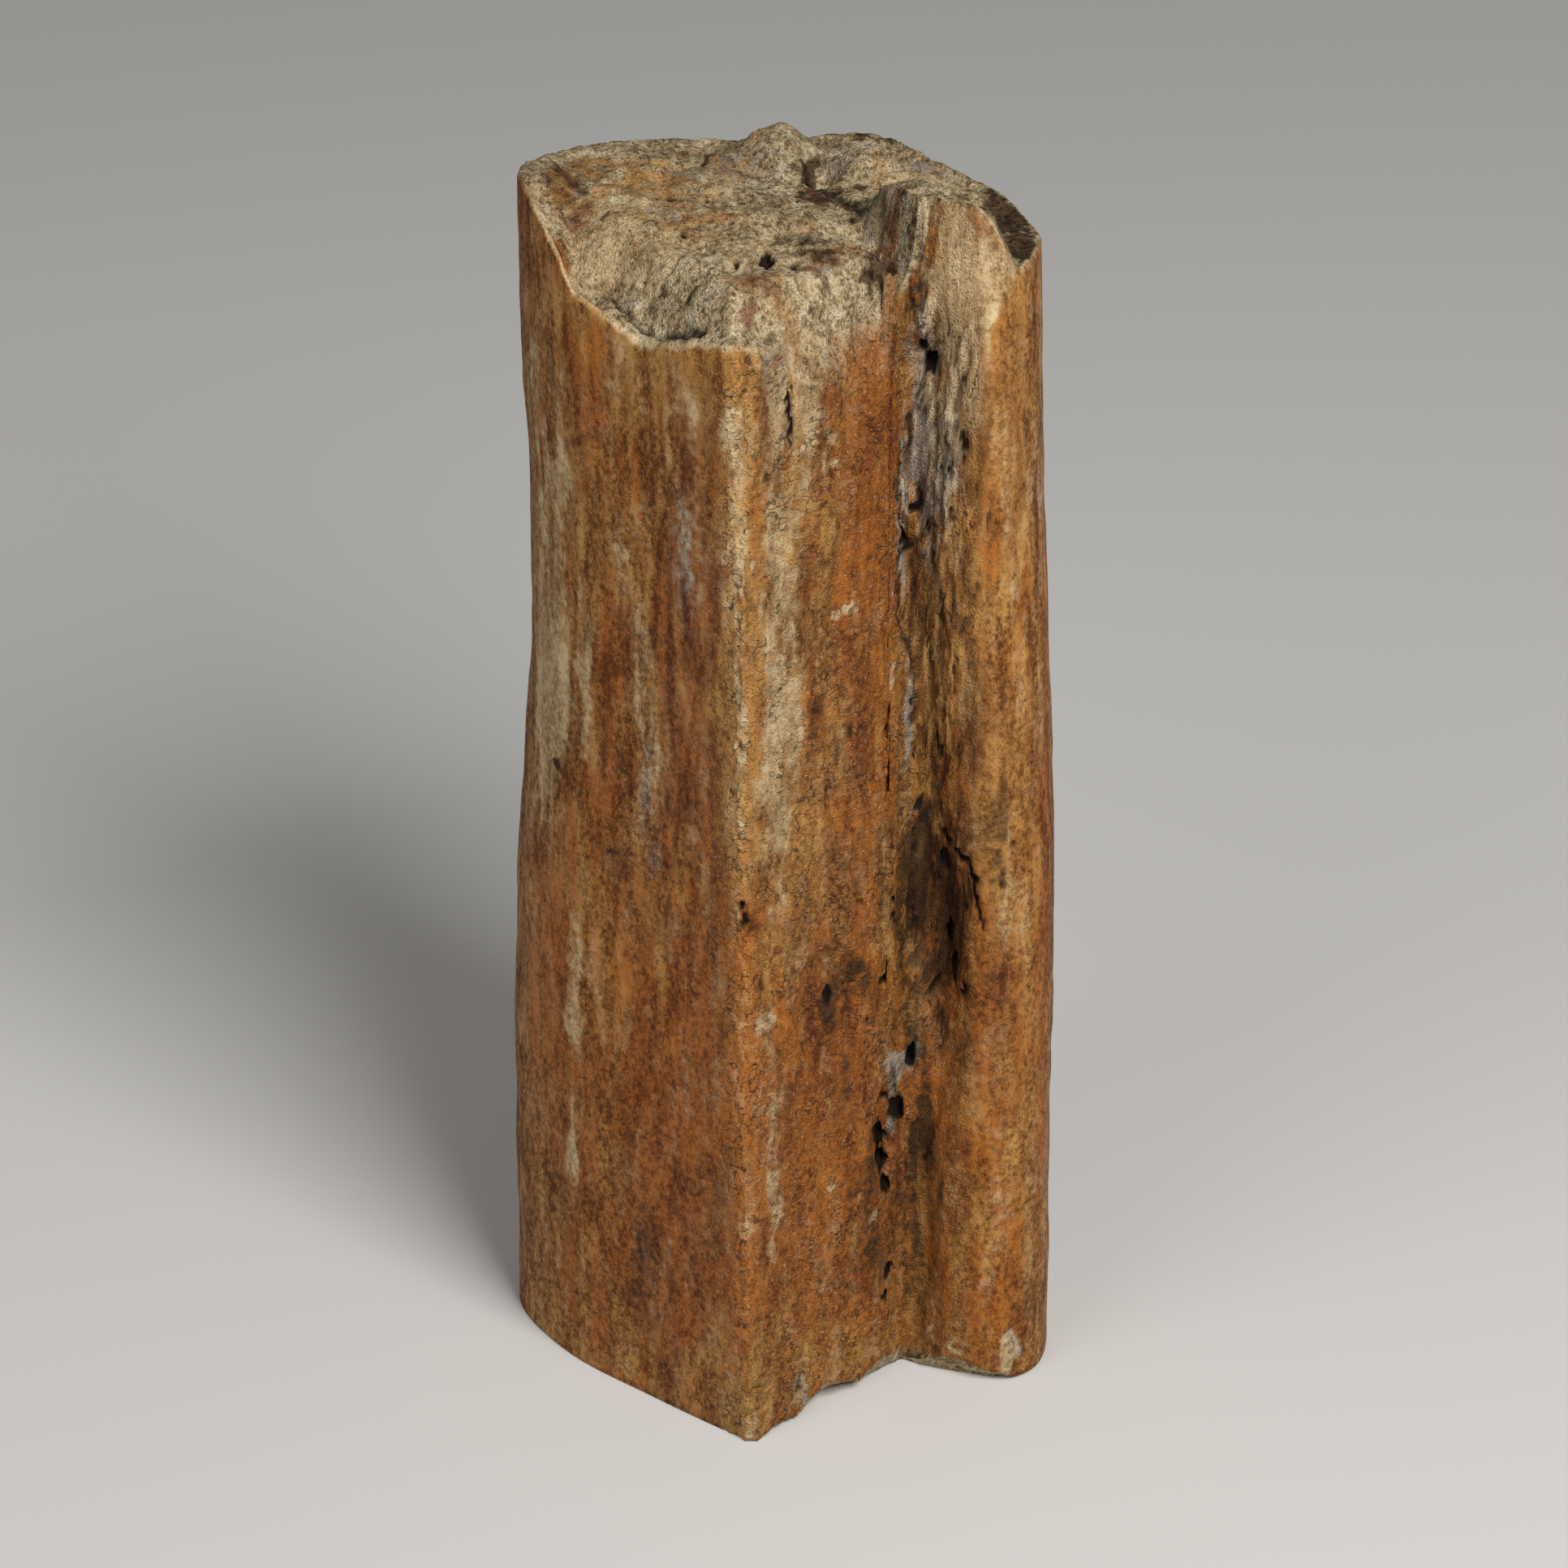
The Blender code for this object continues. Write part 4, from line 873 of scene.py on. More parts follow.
# On the upper break: x, y, half width, half depth, strength
BREAK_STAINS = {
    "ochre": (
        (-16.0, -0.8, 16.3, 16.0, 0.5), (-16.2, 12.0, 12.5, 8.9, 0.5), (-26.5, 4.8, 2.4, 9.0, 0.6),
        (-12.8, 21.8, 3.1, 2.9, 0.7), (-5.8, 16.8, 5.8, 9.9, 0.45), (-7.2, -10.0, 2.5, 2.9, 0.4),
        (1.8, -3.5, 3.3, 3.4, 0.35), (11.5, 11.5, 2.3, 8.2, 0.35), (-3.0, -21.5, 7.0, 4.6, 0.4),
        (9.6, -8.0, 5.0, 6.0, 0.6), (-22.0, 14.0, 6.0, 6.0, 0.6),
    ),
    "oxblood": (
        # The first patch, at (-26.0, 5.0), is partly the brown just inside the left rim and partly painted
        # shade there
        (-26.0, 5.0, 4.2, 12.0, 0.45), (-24.0, -3.2, 2.1, 3.1, 0.5), (4.2, 8.5, 2.1, 6.2, 0.7),
        (-0.5, 3.2, 2.9, 3.4, 0.35), (3.2, -15.0, 2.5, 3.2, 0.55), (-4.0, -24.8, 1.2, 2.3, 0.6),
        (12.4, -7.0, 2.8, 6.0, 0.8), (-3.0, -20.0, 6.0, 4.0, 0.45), (4.8, -13.0, 3.4, 4.0, 0.5),
    ),
    "rust": (
        (-26.0, -9.8, 0.9, 2.5, 1.3), (-9.8, -11.8, 0.8, 1.1, 0.9), (-6.2, -8.5, 0.8, 1.2, 0.7),
        (0.5, -21.5, 2.9, 2.5, 0.35), (-26.2, -9.0, 1.4, 3.4, 1.2),
    ),
    "grey": (
        (-6.5, 13.5, 11.5, 8.6, 0.35), (-22.5, -6.5, 1.7, 1.5, 0.5), (-3.5, 17.8, 3.8, 2.8, 0.4),
        (4.8, -15.2, 1.3, 1.4, 0.9), (7.8, 19.0, 5.8, 6.1, 0.5), (17.5, 17.0, 3.8, 2.6, 0.6),
        (-10.5, -22.2, 4.8, 1.9, 0.5), (-18.2, -14.8, 1.9, 1.7, 0.5), (13.8, -9.6, 0.8, 3.0, 0.9),
        (10.0, -2.6, 0.8, 2.4, 0.8), (-2.0, -15.2, 4.4, 5.0, 0.5), (-14.0, -4.0, 4.0, 5.0, 0.35),
        (12.2, -5.0, 1.6, 5.0, 0.5),
    ),
    "pale": (
        (-17.5, -9.5, 8.7, 7.5, 0.35), (-29.5, -3.0, 1.2, 6.6, 1.0), (-28.5, 13.8, 2.5, 3.8, 0.8),
        (-21.0, -8.0, 6.0, 5.0, 0.95), (-23.2, -10.8, 2.9, 2.5, 0.6), (-1.2, -0.8, 1.5, 2.2, 1.0),
        (-5.0, -3.0, 2.3, 3.6, 0.5), (-2.5, -13.2, 4.4, 6.1, 0.6), (-5.8, -15.8, 2.1, 3.5, 0.5),
        (5.8, -16.2, 2.1, 1.2, 0.7), (3.8, -18.8, 2.9, 1.3, 0.6), (14.0, 13.2, 3.5, 1.4, 1.0),
        (17.8, 13.8, 3.3, 3.0, 0.9), (-6.0, -26.2, 1.3, 2.5, 0.7), (-2.0, -23.8, 1.5, 2.5, 0.6),
        (-15.2, -16.0, 3.8, 1.2, 0.5), (20.2, -10.8, 2.4, 2.4, 0.7), (11.6, -5.4, 0.7, 2.6, 0.8),
        (-15.0, -12.5, 6.0, 4.0, 0.6), (-19.0, 0.0, 6.5, 4.5, 0.75), (23.6, -12.0, 3.0, 2.0, 0.9),
        (-10.0, 7.0, 6.0, 6.0, 0.5),
    ),
    "dark": (
        # The first patch is partly painted shade just inside the left rim, the one at (3.0, 15.2) painted
        # shade in the pit beside the peak, and those round x 24 to 28 and y -7 to 8 the painted shadow that
        # the spire casts on the low corner behind it
        (-26.0, 5.0, 4.6, 12.0, 0.45), (-9.2, 18.0, 1.0, 2.1, 0.8), (-15.8, 18.5, 2.1, 1.0, 0.8),
        (3.0, 15.2, 1.2, 3.2, 1.0), (6.5, 11.2, 0.8, 1.6, 0.8), (1.8, 15.8, 1.2, 1.1, 0.5),
        (3.8, -10.0, 3.4, 5.0, 0.5), (4.8, -17.0, 2.5, 0.6, 0.5), (4.2, 18.2, 2.1, 1.5, 0.5),
        (9.2, 11.2, 1.9, 1.2, 0.6), (-15.2, -17.5, 3.3, 1.5, 0.35), (-7.2, -25.8, 0.8, 2.1, 0.5),
        (-10.5, -20.2, 2.1, 0.6, 0.5), (26.0, 8.0, 5.5, 11.0, 1.3), (24.0, 2.0, 4.0, 4.0, 0.6),
        (24.9, -6.5, 3.2, 5.5, 0.8), (14.6, -11.0, 1.6, 3.0, 0.4), (9.0, -9.0, 1.2, 4.0, 0.4),
        (9.0, 6.0, 3.2, 3.6, 0.5), (5.0, 8.0, 4.6, 5.6, 0.6), (28.4, -4.4, 3.0, 6.0, 1.2),
        (10.8, -11.0, 3.4, 5.0, 0.75), (-22.0, 14.0, 6.0, 6.0, 0.25), (11.9, 25.0, 6.0, 4.0, 0.6),
    ),
}
print(sum(len(patches) for patches in BREAK_STAINS.values()), "stains on the upper break")

# %% [markdown]
# Every patch is the same soft oval, so one function spreads a whole list of them. The places are moved a
# little by random relief first, which makes the ovals ragged. Where two patches of a mineral lie over each
# other, the stronger one counts in full and the weaker one in part, as with a stain that soaked in twice.

# %% Spread the stains over the skin
EVERYWHERE = {"ochre": 0.26, "oxblood": 0.2, "rust": 0.28, "grey": 0.1, "pale": 0.18, "dark": 0.1}
PATCH_SLOPE = 1.35                # how steeply a patch fades towards its edge
PATCH_SPILL = 0.1                 # how far it goes past its edge
SOAKED_TWICE = 0.3                # share of the weaker one of two patches

x, y, z = points.T
on_side = (zone == 0).astype(float)
on_break = (zone == 1).astype(float)
facing = ease((4.0 - y) / 8.0)    # one at the front, nought at the back
on_front = facing * on_side
on_back = (1.0 - facing) * on_side
shift = 0.8 * grain(points, size=2.2, seed=41, stretch=2.5)
rough_shift = 5.0 * grain(points, size=6.0, seed=43, stretch=2.0)
small_shift = 0.3 * grain(points, size=1.0, seed=45, octaves=2)
stains = {mineral: amount * on_side for mineral, amount in EVERYWHERE.items()}


def add_stains(table, across, up, where):
    """Raises each mineral's values round its patches."""
    for mineral, patches in table.items():
        for middle_across, middle_up, half_width, half_length, strength in patches:
            away = np.hypot((across - middle_across) / half_width, (up - middle_up) / half_length)
            patch = strength * ease(PATCH_SLOPE * (1.0 - away) + PATCH_SPILL) * where
            weaker = np.minimum(stains[mineral], patch)
            stains[mineral] = np.maximum(stains[mineral], patch) + SOAKED_TWICE * weaker


def raise_stain(mineral, values):
    """Raises one mineral's values where the given ones are higher."""
    stains[mineral] = np.maximum(stains[mineral], values)


add_stains(FRONT_STAINS, x + shift, z + rough_shift, on_front)
add_stains(SPOT_PATCHES, x + small_shift, z + small_shift, on_front)
for line, _, _ in LEFT_CRACKS:
    away, _ = off_line(line, x + small_shift, z)
    raise_stain("oxblood", 0.8 * ease(1.6 - away / 0.35) * on_front)
add_stains(BACK_STAINS, x + shift, z + rough_shift, on_back)
add_stains(BREAK_STAINS, x + shift, y + shift, on_break)
for mineral, values in stains.items():
    print(mineral, "reaches", round(float(values.max()), 2))

# %% [markdown]
# Painted shade darkens the foot of the lip and the crack behind the front edge, and the left front rim is
# worn pale.
# These follow lines that the shape already has, so they are worked out from the same lines. At the end a
# veil of random relief makes all but the strongest stains come and go along the bone.

# %% Painted shade under the lip and in the seam, worn rim and veil
# How dark the painted shade along the foot of the lip is
LIP_SHADOW = 0.8
LIP_SHADOW_Z = 56.0                 # the painted shade begins above this height
# How dark the painted shade in the crack behind the front edge is
SEAM_SHADE = 0.6
RIM_PALE = 0.9
RIM_LINE = 0.6                    # width in mm of the pale line along the left front rim
SOLID_STAIN = 1.0                 # a stain stronger than this has no veil

heights, edges = np.array(LIP_LINE).T
past_lip = x - np.interp(z, heights, edges)
# A painted shadow along the foot of the lip, where the groove drops behind it
shadow_under_lip = bump(past_lip - 0.8 * grain(points, size=1.6, seed=31), 0.3, 0.3)
shadow_under_lip = shadow_under_lip * ease((LIP_TOP_Z - z) / LIP_TOP_RUN) * ease((z - LIP_SHADOW_Z) / 6.0)
raise_stain("dark", LIP_SHADOW * shadow_under_lip * on_front)
# Painted shade along the crack behind the front edge of the upper break
away, _ = off_line(SEAM, x, y)
raise_stain("dark", SEAM_SHADE * ease(1.6 - (away + small_shift) / 0.3) * on_break)
raise_stain("pale", RIM_PALE * on_front * ease((1.0 - x) / 3.0) * ease(1.6 - rim_gap / RIM_LINE))
for index, (mineral, values) in enumerate(stains.items()):
    veil = 1.0 + grain(points, size=2.4, seed=71 + 2 * index, stretch=4.6)
    stains[mineral] = np.where(values > SOLID_STAIN, values, values * np.clip(veil, 0.1, 2.2))
    print(mineral, "covers", round(100 * float((stains[mineral] > 0.3).mean())), "% of the skin")

# %% [markdown]
# The surface itself differs from place to place: broken at the ends, combed into fibres in the groove, scaly
# on the ridge, and smooth on the left face and the column. Each is a value between nought and one at every
# point, so one material can serve the whole bone. Separate materials would leave hard edges between them.

# %% Where the surface is fibrous, porous or broken
EDGE_LIGHT = 0.26                 # how much lighter the bone is along the worn ridge

worn = 0.85 * on_shoulder(x, rim_gap) * facing
broken = np.where(zone == 0, np.maximum(ease(1.0 - rim_gap / 0.5), worn), 1.0)
flank = facing * ease(past_lip) * ease((25.0 - x) / 5.0)
band = facing * ease((x + 5.0) / 3.0) * (1.0 - ease(past_lip))
fibrous = flank * (0.3 + 0.7 * ease((z - 38.0) / 30.0)) * (1.0 - 0.65 * ease((z - 140.0) / 8.0))
for weaker in (0.2 * band * ease((z - 60.0) / 30.0), 0.35 * (1.0 - facing) * bump(x, 7.0, 14.0), 0.05):
    fibrous = np.maximum(fibrous, weaker)
fibrous = fibrous * on_side
ridged = np.maximum(facing * bump(x, -4.8, 2.6), 0.55 * band * ease((9.0 - past_lip) / 9.0)) * on_side
smooth = on_side * np.maximum(facing * ease((-8.0 - x) / 3.0), facing * ease((x - 22.0) / 3.0))
high_up = 0.3 + 0.7 * ease((z - 30.0) / 50.0)
mottle = 0.5 + 0.17 * grain(points, size=1.9, seed=61, stretch=2.6)
mottle += 0.15 * grain(points, size=6.0, seed=63, octaves=2, stretch=3.0)
mottle += 0.14 * grain(points, size=1.7, seed=67, octaves=2, stretch=9.0) * (on_side + smooth) * high_up
mottle += EDGE_LIGHT * facing * bump(x + shift, -5.4, 2.4) * on_side
patchy = 0.5 + 0.5 * grain(points, size=3.2, seed=65, stretch=1.6)

# %% Keep the values on the skin
# Three values go into each vector attribute, because the material reads one vector faster than three values
PARTS = {
    "warm stains": ("ochre", "oxblood", "rust"),
    "cool stains": ("grey", "pale", "dark"),
    "surface": ("broken", "fibrous", "ridged"),
    "look": ("mottle", "patchy", "smooth"),
}
VALUES = dict(stains, broken=broken, fibrous=fibrous, ridged=ridged,
              mottle=mottle, patchy=patchy, smooth=smooth)
for name, parts in PARTS.items():
    values = np.column_stack([VALUES[part] for part in parts]).astype(np.float32)
    skin.attributes.new(name, "FLOAT_VECTOR", "POINT").data.foreach_set("vector", values.ravel())
# holes keeps the depth of holes, cracks and pits, which the finish paints near black as shade
skin.attributes.new("holes", "FLOAT", "POINT").data.foreach_set("value", pits.astype(np.float32))
print("attributes:", ", ".join(PARTS), "and holes")

# %% [markdown]
# One small function adds every node below, to a material or to a geometry tree. It sets the node's own
# settings, then gives each input either a value or a link from another node.

# %% A helper for nodes
def add(tree, kind, inputs=None, **settings):
    """Adds one node. inputs holds values, sockets or nodes, by the input's name or number."""
    node = tree.nodes.new(kind)
    for name, value in settings.items():
        setattr(node, name, value)
    for name, value in (inputs or {}).items():
        named = [socket for socket in node.inputs if socket.enabled and socket.name == name]
        socket = node.inputs[name] if isinstance(name, int) else named[0]
        if isinstance(value, bpy.types.Node):
            value = next(out for out in value.outputs if out.enabled)
        if isinstance(value, bpy.types.NodeSocket):
            tree.links.new(value, socket)
        else:
            socket.default_value = value
    return node


def product(tree, *values):
    """The product of values, sockets or nodes."""
    result = values[0]
    for value in values[1:]:
        result = add(tree, "ShaderNodeMath", {0: result, 1: value}, operation="MULTIPLY")
    return result


def linear(hex_colour):
    """Turns an sRGB hex colour into the linear numbers that shaders work with."""
    channels = [int(hex_colour[start:start + 2], 16) / 255.0 for start in (1, 3, 5)]
    return tuple(c / 12.92 if c <= 0.04045 else ((c + 0.055) / 1.055) ** 2.4 for c in channels) + (1.0,)


SMOOTHLY = {"interpolation_type": "SMOOTHSTEP"}
print("middle grey in linear numbers:", [round(channel, 3) for channel in linear("#808080")])

# %% [markdown]
# Fibres and pores follow a rule all over the surface, so a Geometry Nodes tree makes them. It moves every
# point in along its normal: by noise that is drawn out along the bone where the surface is fibrous, and by
# small cups where it is broken. It also keeps how far each point went in, as the attribute "relief", so
# that the material can paint shade into the low places. A Displace modifier could move the points too, but
# it couldn't keep that value.

# %% Geometry Nodes: fibres and pores
SIZES = {                         # the tree's inputs; lengths in metres
    "Fibre width": 0.9 * MM,
    "Fibre stretch": 5.0,         # how much longer than wide
    "Fibre depth": 0.7 * MM,
    "Pore width": 1.5 * MM,
    "Pore depth": 0.25 * MM,
    "Scale width": 1.3 * MM,
    "Scale depth": 0.36 * MM,
}
PORE_PATCHES = 300.0              # to a metre; in each the pores lie close together
SCALE_SQUEEZE = (1.0, 1.0, 1.9)   # the scales are about half as tall as wide


def grain_tree(material):
    """A tree that cuts fibres, pores and scales into a closed skin."""
    tree = bpy.data.node_groups.new("fibres and pores", "GeometryNodeTree")
    tree.interface.new_socket("Geometry", in_out="INPUT", socket_type="NodeSocketGeometry")
    for name in SIZES:
        tree.interface.new_socket(name, in_out="INPUT", socket_type="NodeSocketFloat")
    tree.interface.new_socket("Geometry", in_out="OUTPUT", socket_type="NodeSocketGeometry")
    given = add(tree, "NodeGroupInput").outputs
    place = add(tree, "GeometryNodeInputPosition")
    surface = add(tree, "GeometryNodeInputNamedAttribute", {"Name": "surface"}, data_type="FLOAT_VECTOR")
    weights = dict(zip(PARTS["surface"], add(tree, "ShaderNodeSeparateXYZ", {"Vector": surface}).outputs))
    one_over = {name: add(tree, "ShaderNodeMath", {0: 1.0, 1: given[name]}, operation="DIVIDE")
                for name in SIZES if name.endswith(("width", "stretch"))}

    squeeze = add(tree, "ShaderNodeCombineXYZ", {"X": 1.0, "Y": 1.0, "Z": one_over["Fibre stretch"]})
    drawn_out = add(tree, "ShaderNodeVectorMath", {0: place, 1: squeeze}, operation="MULTIPLY")
    strands = add(tree, "ShaderNodeTexNoise", {"Vector": drawn_out, "Scale": one_over["Fibre width"],
                                               "Detail": 3.0, "Roughness": 0.65})
    furrow = add(tree, "ShaderNodeMapRange", {"Value": strands, "From Min": 0.38, "From Max": 0.68},
                 **SMOOTHLY)
    fibre = product(tree, furrow, weights["fibrous"], given["Fibre depth"])

    cells = add(tree, "ShaderNodeTexVoronoi", {"Vector": place, "Scale": one_over["Pore width"]})
    cup = add(tree, "ShaderNodeMapRange", {"Value": cells, "From Min": 0.5, "From Max": 0.1}, **SMOOTHLY)
    where = add(tree, "ShaderNodeTexNoise", {"Vector": place, "Scale": PORE_PATCHES, "Detail": 2.0})
    some = add(tree, "ShaderNodeMapRange", {"Value": where, "From Min": 0.42, "From Max": 0.62})
    pore = product(tree, cup, some, weights["broken"], given["Pore depth"])

    flat = add(tree, "ShaderNodeVectorMath", {0: place, 1: SCALE_SQUEEZE}, operation="MULTIPLY")
    scales = add(tree, "ShaderNodeTexNoise", {"Vector": flat, "Scale": one_over["Scale width"],
                                              "Detail": 2.0, "Distortion": 0.6})
    step = add(tree, "ShaderNodeMapRange", {"Value": scales, "From Min": 0.42, "From Max": 0.58}, **SMOOTHLY)
    scale = product(tree, step, weights["ridged"], given["Scale depth"])

    relief = add(tree, "ShaderNodeMath", {0: fibre, 1: pore}, operation="ADD")
    relief = add(tree, "ShaderNodeMath", {0: relief, 1: scale}, operation="ADD")
    kept = add(tree, "GeometryNodeStoreNamedAttribute",
               {"Geometry": given["Geometry"], "Name": "relief", "Value": relief},
               data_type="FLOAT", domain="POINT")
    stored = add(tree, "GeometryNodeInputNamedAttribute", {"Name": "relief"}, data_type="FLOAT")
    outwards = add(tree, "GeometryNodeInputNormal")
    move = add(tree, "ShaderNodeVectorMath", {0: outwards, "Scale": product(tree, stored, -1.0)},
               operation="SCALE")
    moved = add(tree, "GeometryNodeSetPosition", {"Geometry": kept, "Offset": move})
    real = add(tree, "GeometryNodeRealizeInstances", {"Geometry": moved})
    dressed = add(tree, "GeometryNodeSetMaterial", {"Geometry": real, "Material": material})
    add(tree, "NodeGroupOutput", {"Geometry": dressed})
    return tree


print("the tree's inputs:", ", ".join(SIZES))

# %% [markdown]
# The finish is mineralised bone: apatite whose pores are filled with silica and iron. It is dull, and a
# little waxy where it is dense. Only the groove is combed into fibres, and the finest grains have no
# direction. The minerals are laid over the bone one after another, and the same grains break up the edge of
# each stain. An image would hold more detail, but only for the one side that the photograph shows.

# %% Material: mineralised bone
# Each mineral's dark and light tone as sRGB, and how much of the bone it hides
TONES = {
    "ochre": ("#77491c", "#c39150", 0.85),
    "oxblood": ("#3f190a", "#864622", 0.8),
    "rust": ("#5f2c07", "#ae6621", 0.9),
    "grey": ("#5b5044", "#bcb09e", 0.85),
    "pale": ("#8f6e42", "#dbc59b", 0.75),
    "dark": ("#170c04", "#4e3316", 0.9),
}
BONE_TONES = ((0.0, "#482408"), (0.3, "#6a3e14"), (0.6, "#8c5c24"), (1.0, "#b18544"))
BREAK_TONES = ((0.0, "#49392a"), (0.3, "#7c6848"), (0.6, "#a9936d"), (1.0, "#dccdae"))
# Painted shade: the near black of pores, slits, scale edges and holes, and the brown of low places
DEEP_SHADE = "#140b05"
LOW_SHADE = "#331c0a"
FLECK = "#dcc79c"

bone_finish = bpy.data.materials.new("mineralised bone")
bone_finish.use_nodes = True
finish = bone_finish.node_tree
finish.nodes.clear()
on_skin = {}
for name, parts in PARTS.items():
    vector = add(finish, "ShaderNodeAttribute", attribute_name=name).outputs["Vector"]
    on_skin.update(zip(parts, add(finish, "ShaderNodeSeparateXYZ", {"Vector": vector}).outputs))
for name in ("holes", "relief"):
    on_skin[name] = add(finish, "ShaderNodeAttribute", attribute_name=name).outputs["Fac"]
print("the finish reads", ", ".join(on_skin))

# %% [markdown]
# Four noises are the grain of the bone. Their lumps have real sizes in millimetres, on the bone's own
# coordinates, and two of them are squeezed so that their lumps are longer or flatter along the bone. The
# real grain is finer still, about a tenth of a millimetre, and is drawn a little coarser so that it shows.

# %% Grain of the bone
# Name: width of the lumps in mm, squeeze along the bone, detail, roughness
NOISES = {
    "grains": (0.8, 0.8, 3.0, 0.75),
    "speck": (0.3, 1.0, 1.0, 0.6),
    "scales": (1.7, 1.3, 1.0, 0.6),
    "strands": (1.0, 0.16, 2.0, 0.65),
}
object_place = add(finish, "ShaderNodeTexCoord").outputs["Object"]
noises = {}
for name, (width, squeeze, detail, roughness) in NOISES.items():
    in_mm = add(finish, "ShaderNodeMapping", {"Vector": object_place,
                                              "Scale": (1 / MM, 1 / MM, squeeze / MM)})
    noises[name] = add(finish, "ShaderNodeTexNoise", {"Vector": in_mm, "Scale": 1.0 / width,
                                                      "Detail": detail, "Roughness": roughness})
combed = add(finish, "ShaderNodeMix", {"Factor": on_skin["fibrous"], "A": noises["grains"],
                                       "B": noises["strands"]})
print(len(noises), "noises, the finest", min(row[0] for row in NOISES.values()), "mm wide")

# %% Light and dark of the bone
# Name: the shares of three values, then the values of the sum that are darkest and lightest
MIXTURES = {
    "streak": (((0.47, combed), (0.21, noises["speck"]), (0.32, on_skin["mottle"])), 0.40, 0.60),
    "crumb": (((0.56, noises["grains"]), (0.21, noises["speck"]), (0.23, on_skin["mottle"])), 0.40, 0.59),
}
shades = {}
for name, (parts, darkest, lightest) in MIXTURES.items():
    total = 0.0
    for share, value in parts:
        total = add(finish, "ShaderNodeMath", {0: value, 1: share, 2: total}, operation="MULTIPLY_ADD")
    shades[name] = add(finish, "ShaderNodeMapRange", {"Value": total, "From Min": darkest,
                                                      "From Max": lightest})
pattern = add(finish, "ShaderNodeMix", {"Factor": on_skin["broken"], "A": shades["streak"],
                                        "B": shades["crumb"]})


def toned(value, tones):
    """Colours a value through the given tones."""
    node = add(finish, "ShaderNodeValToRGB", {"Fac": value})
    elements = node.color_ramp.elements
    while len(elements) < len(tones):
        elements.new(0.5)
    for element, (place, colour) in zip(elements, tones):
        element.position = place
        element.color = linear(colour)
    return node


outside = toned(shades["streak"], BONE_TONES)
inside = toned(shades["crumb"], BREAK_TONES)
colour = add(finish, "ShaderNodeMix", {"Factor": on_skin["broken"], "A": outside, "B": inside},
             data_type="RGBA")
print(len(BONE_TONES), "tones for the outside and", len(BREAK_TONES), "for the inside")

# %% Stains, one over another
# Each stain is stronger and weaker with a noise: its least, its most, and how strong it is there
SWINGS = {
    "warm stains": (noises["grains"], 0.36, 0.64, 0.7, 1.3),
    "cool stains": (noises["scales"], 0.34, 0.66, 0.65, 1.35),
}
for name, (value, least, most, weak, strong) in SWINGS.items():
    swing = add(finish, "ShaderNodeMapRange", {"Value": value, "From Min": least, "From Max": most,
                                               "To Min": weak, "To Max": strong})
    for mineral in PARTS[name]:
        dark, light, cover = TONES[mineral]
        mask = add(finish, "ShaderNodeMapRange",
                   {"Value": product(finish, on_skin[mineral], swing), "From Min": 0.12, "From Max": 0.8,
                    "To Max": cover}, **SMOOTHLY)
        tone = toned(pattern, ((0.0, dark), (1.0, light)))
        colour = add(finish, "ShaderNodeMix", {"Factor": mask, "A": colour, "B": tone}, data_type="RGBA")
print("stains are laid in this order:", ", ".join(TONES))

# %% [markdown]
# Painted shade darkens what is low: pores, the thin slits between fibres, the edges of the scales, and the
# holes. A slit is drawn where a noise crosses its middle value, which gives lines of an even width. Each of
# these is a soft step of some value, so they are listed with what they read and where they begin and end.

# %% Where pores, slits and painted shade show
# Name: what it reads, where it begins, where it is full, and the value at both
STEPS = {
    "in patches": (on_skin["patchy"], 0.40, 0.60, 0.0, 1.0),
    "in fibres": (on_skin["fibrous"], 0.1, 0.6, 0.0, 1.0),
    "on the ridge": (on_skin["ridged"], 0.0, 0.7, 0.1, 1.0),
    "not smooth": (on_skin["smooth"], 1.0, 0.0, 0.0, 1.0),
    "not dark": (on_skin["dark"], 0.35, 0.1, 0.0, 1.0),
    "large pores": (noises["grains"], 0.60, 0.65, 0.0, 1.0),
    "small pores": (noises["speck"], 0.61, 0.69, 0.0, 1.0),
    "flecks": (noises["speck"], 0.35, 0.27, 0.0, 0.5),
    "low places": (on_skin["relief"], 0.0001, 0.0006, 0.0, 0.5),
    "holes": (on_skin["holes"], 0.12, 0.9, 0.0, 0.97),
    "uneven": (on_skin["smooth"], 0.0, 1.0, 0.5, 0.1),
    "dull": (pattern, 0.0, 1.0, 0.8, 0.5),
}
shows = {
    name: add(finish, "ShaderNodeMapRange", {"Value": value, "From Min": begin, "From Max": full,
                                             "To Min": first, "To Max": last}, **SMOOTHLY)
    for name, (value, begin, full, first, last) in STEPS.items()
}


def thin_lines(value, thin):
    """Thin lines where a noise crosses its middle value: one on the line, nought off it."""
    middle = add(finish, "ShaderNodeMath", {0: value, 1: 0.5}, operation="SUBTRACT")
    off_middle = add(finish, "ShaderNodeMath", {0: middle}, operation="ABSOLUTE")
    return add(finish, "ShaderNodeMapRange", {"Value": off_middle, "From Min": thin,
                                              "From Max": 0.3 * thin}, **SMOOTHLY)


# The slits between fibres and the edges of the scales are painted as dark lines of shade
slit = product(finish, thin_lines(noises["strands"], 0.025), shows["in patches"], shows["in fibres"])
scale_edge = product(finish, thin_lines(noises["scales"], 0.036), shows["in patches"], shows["on the ridge"])
print(len(shows), "soft steps and two kinds of thin lines")

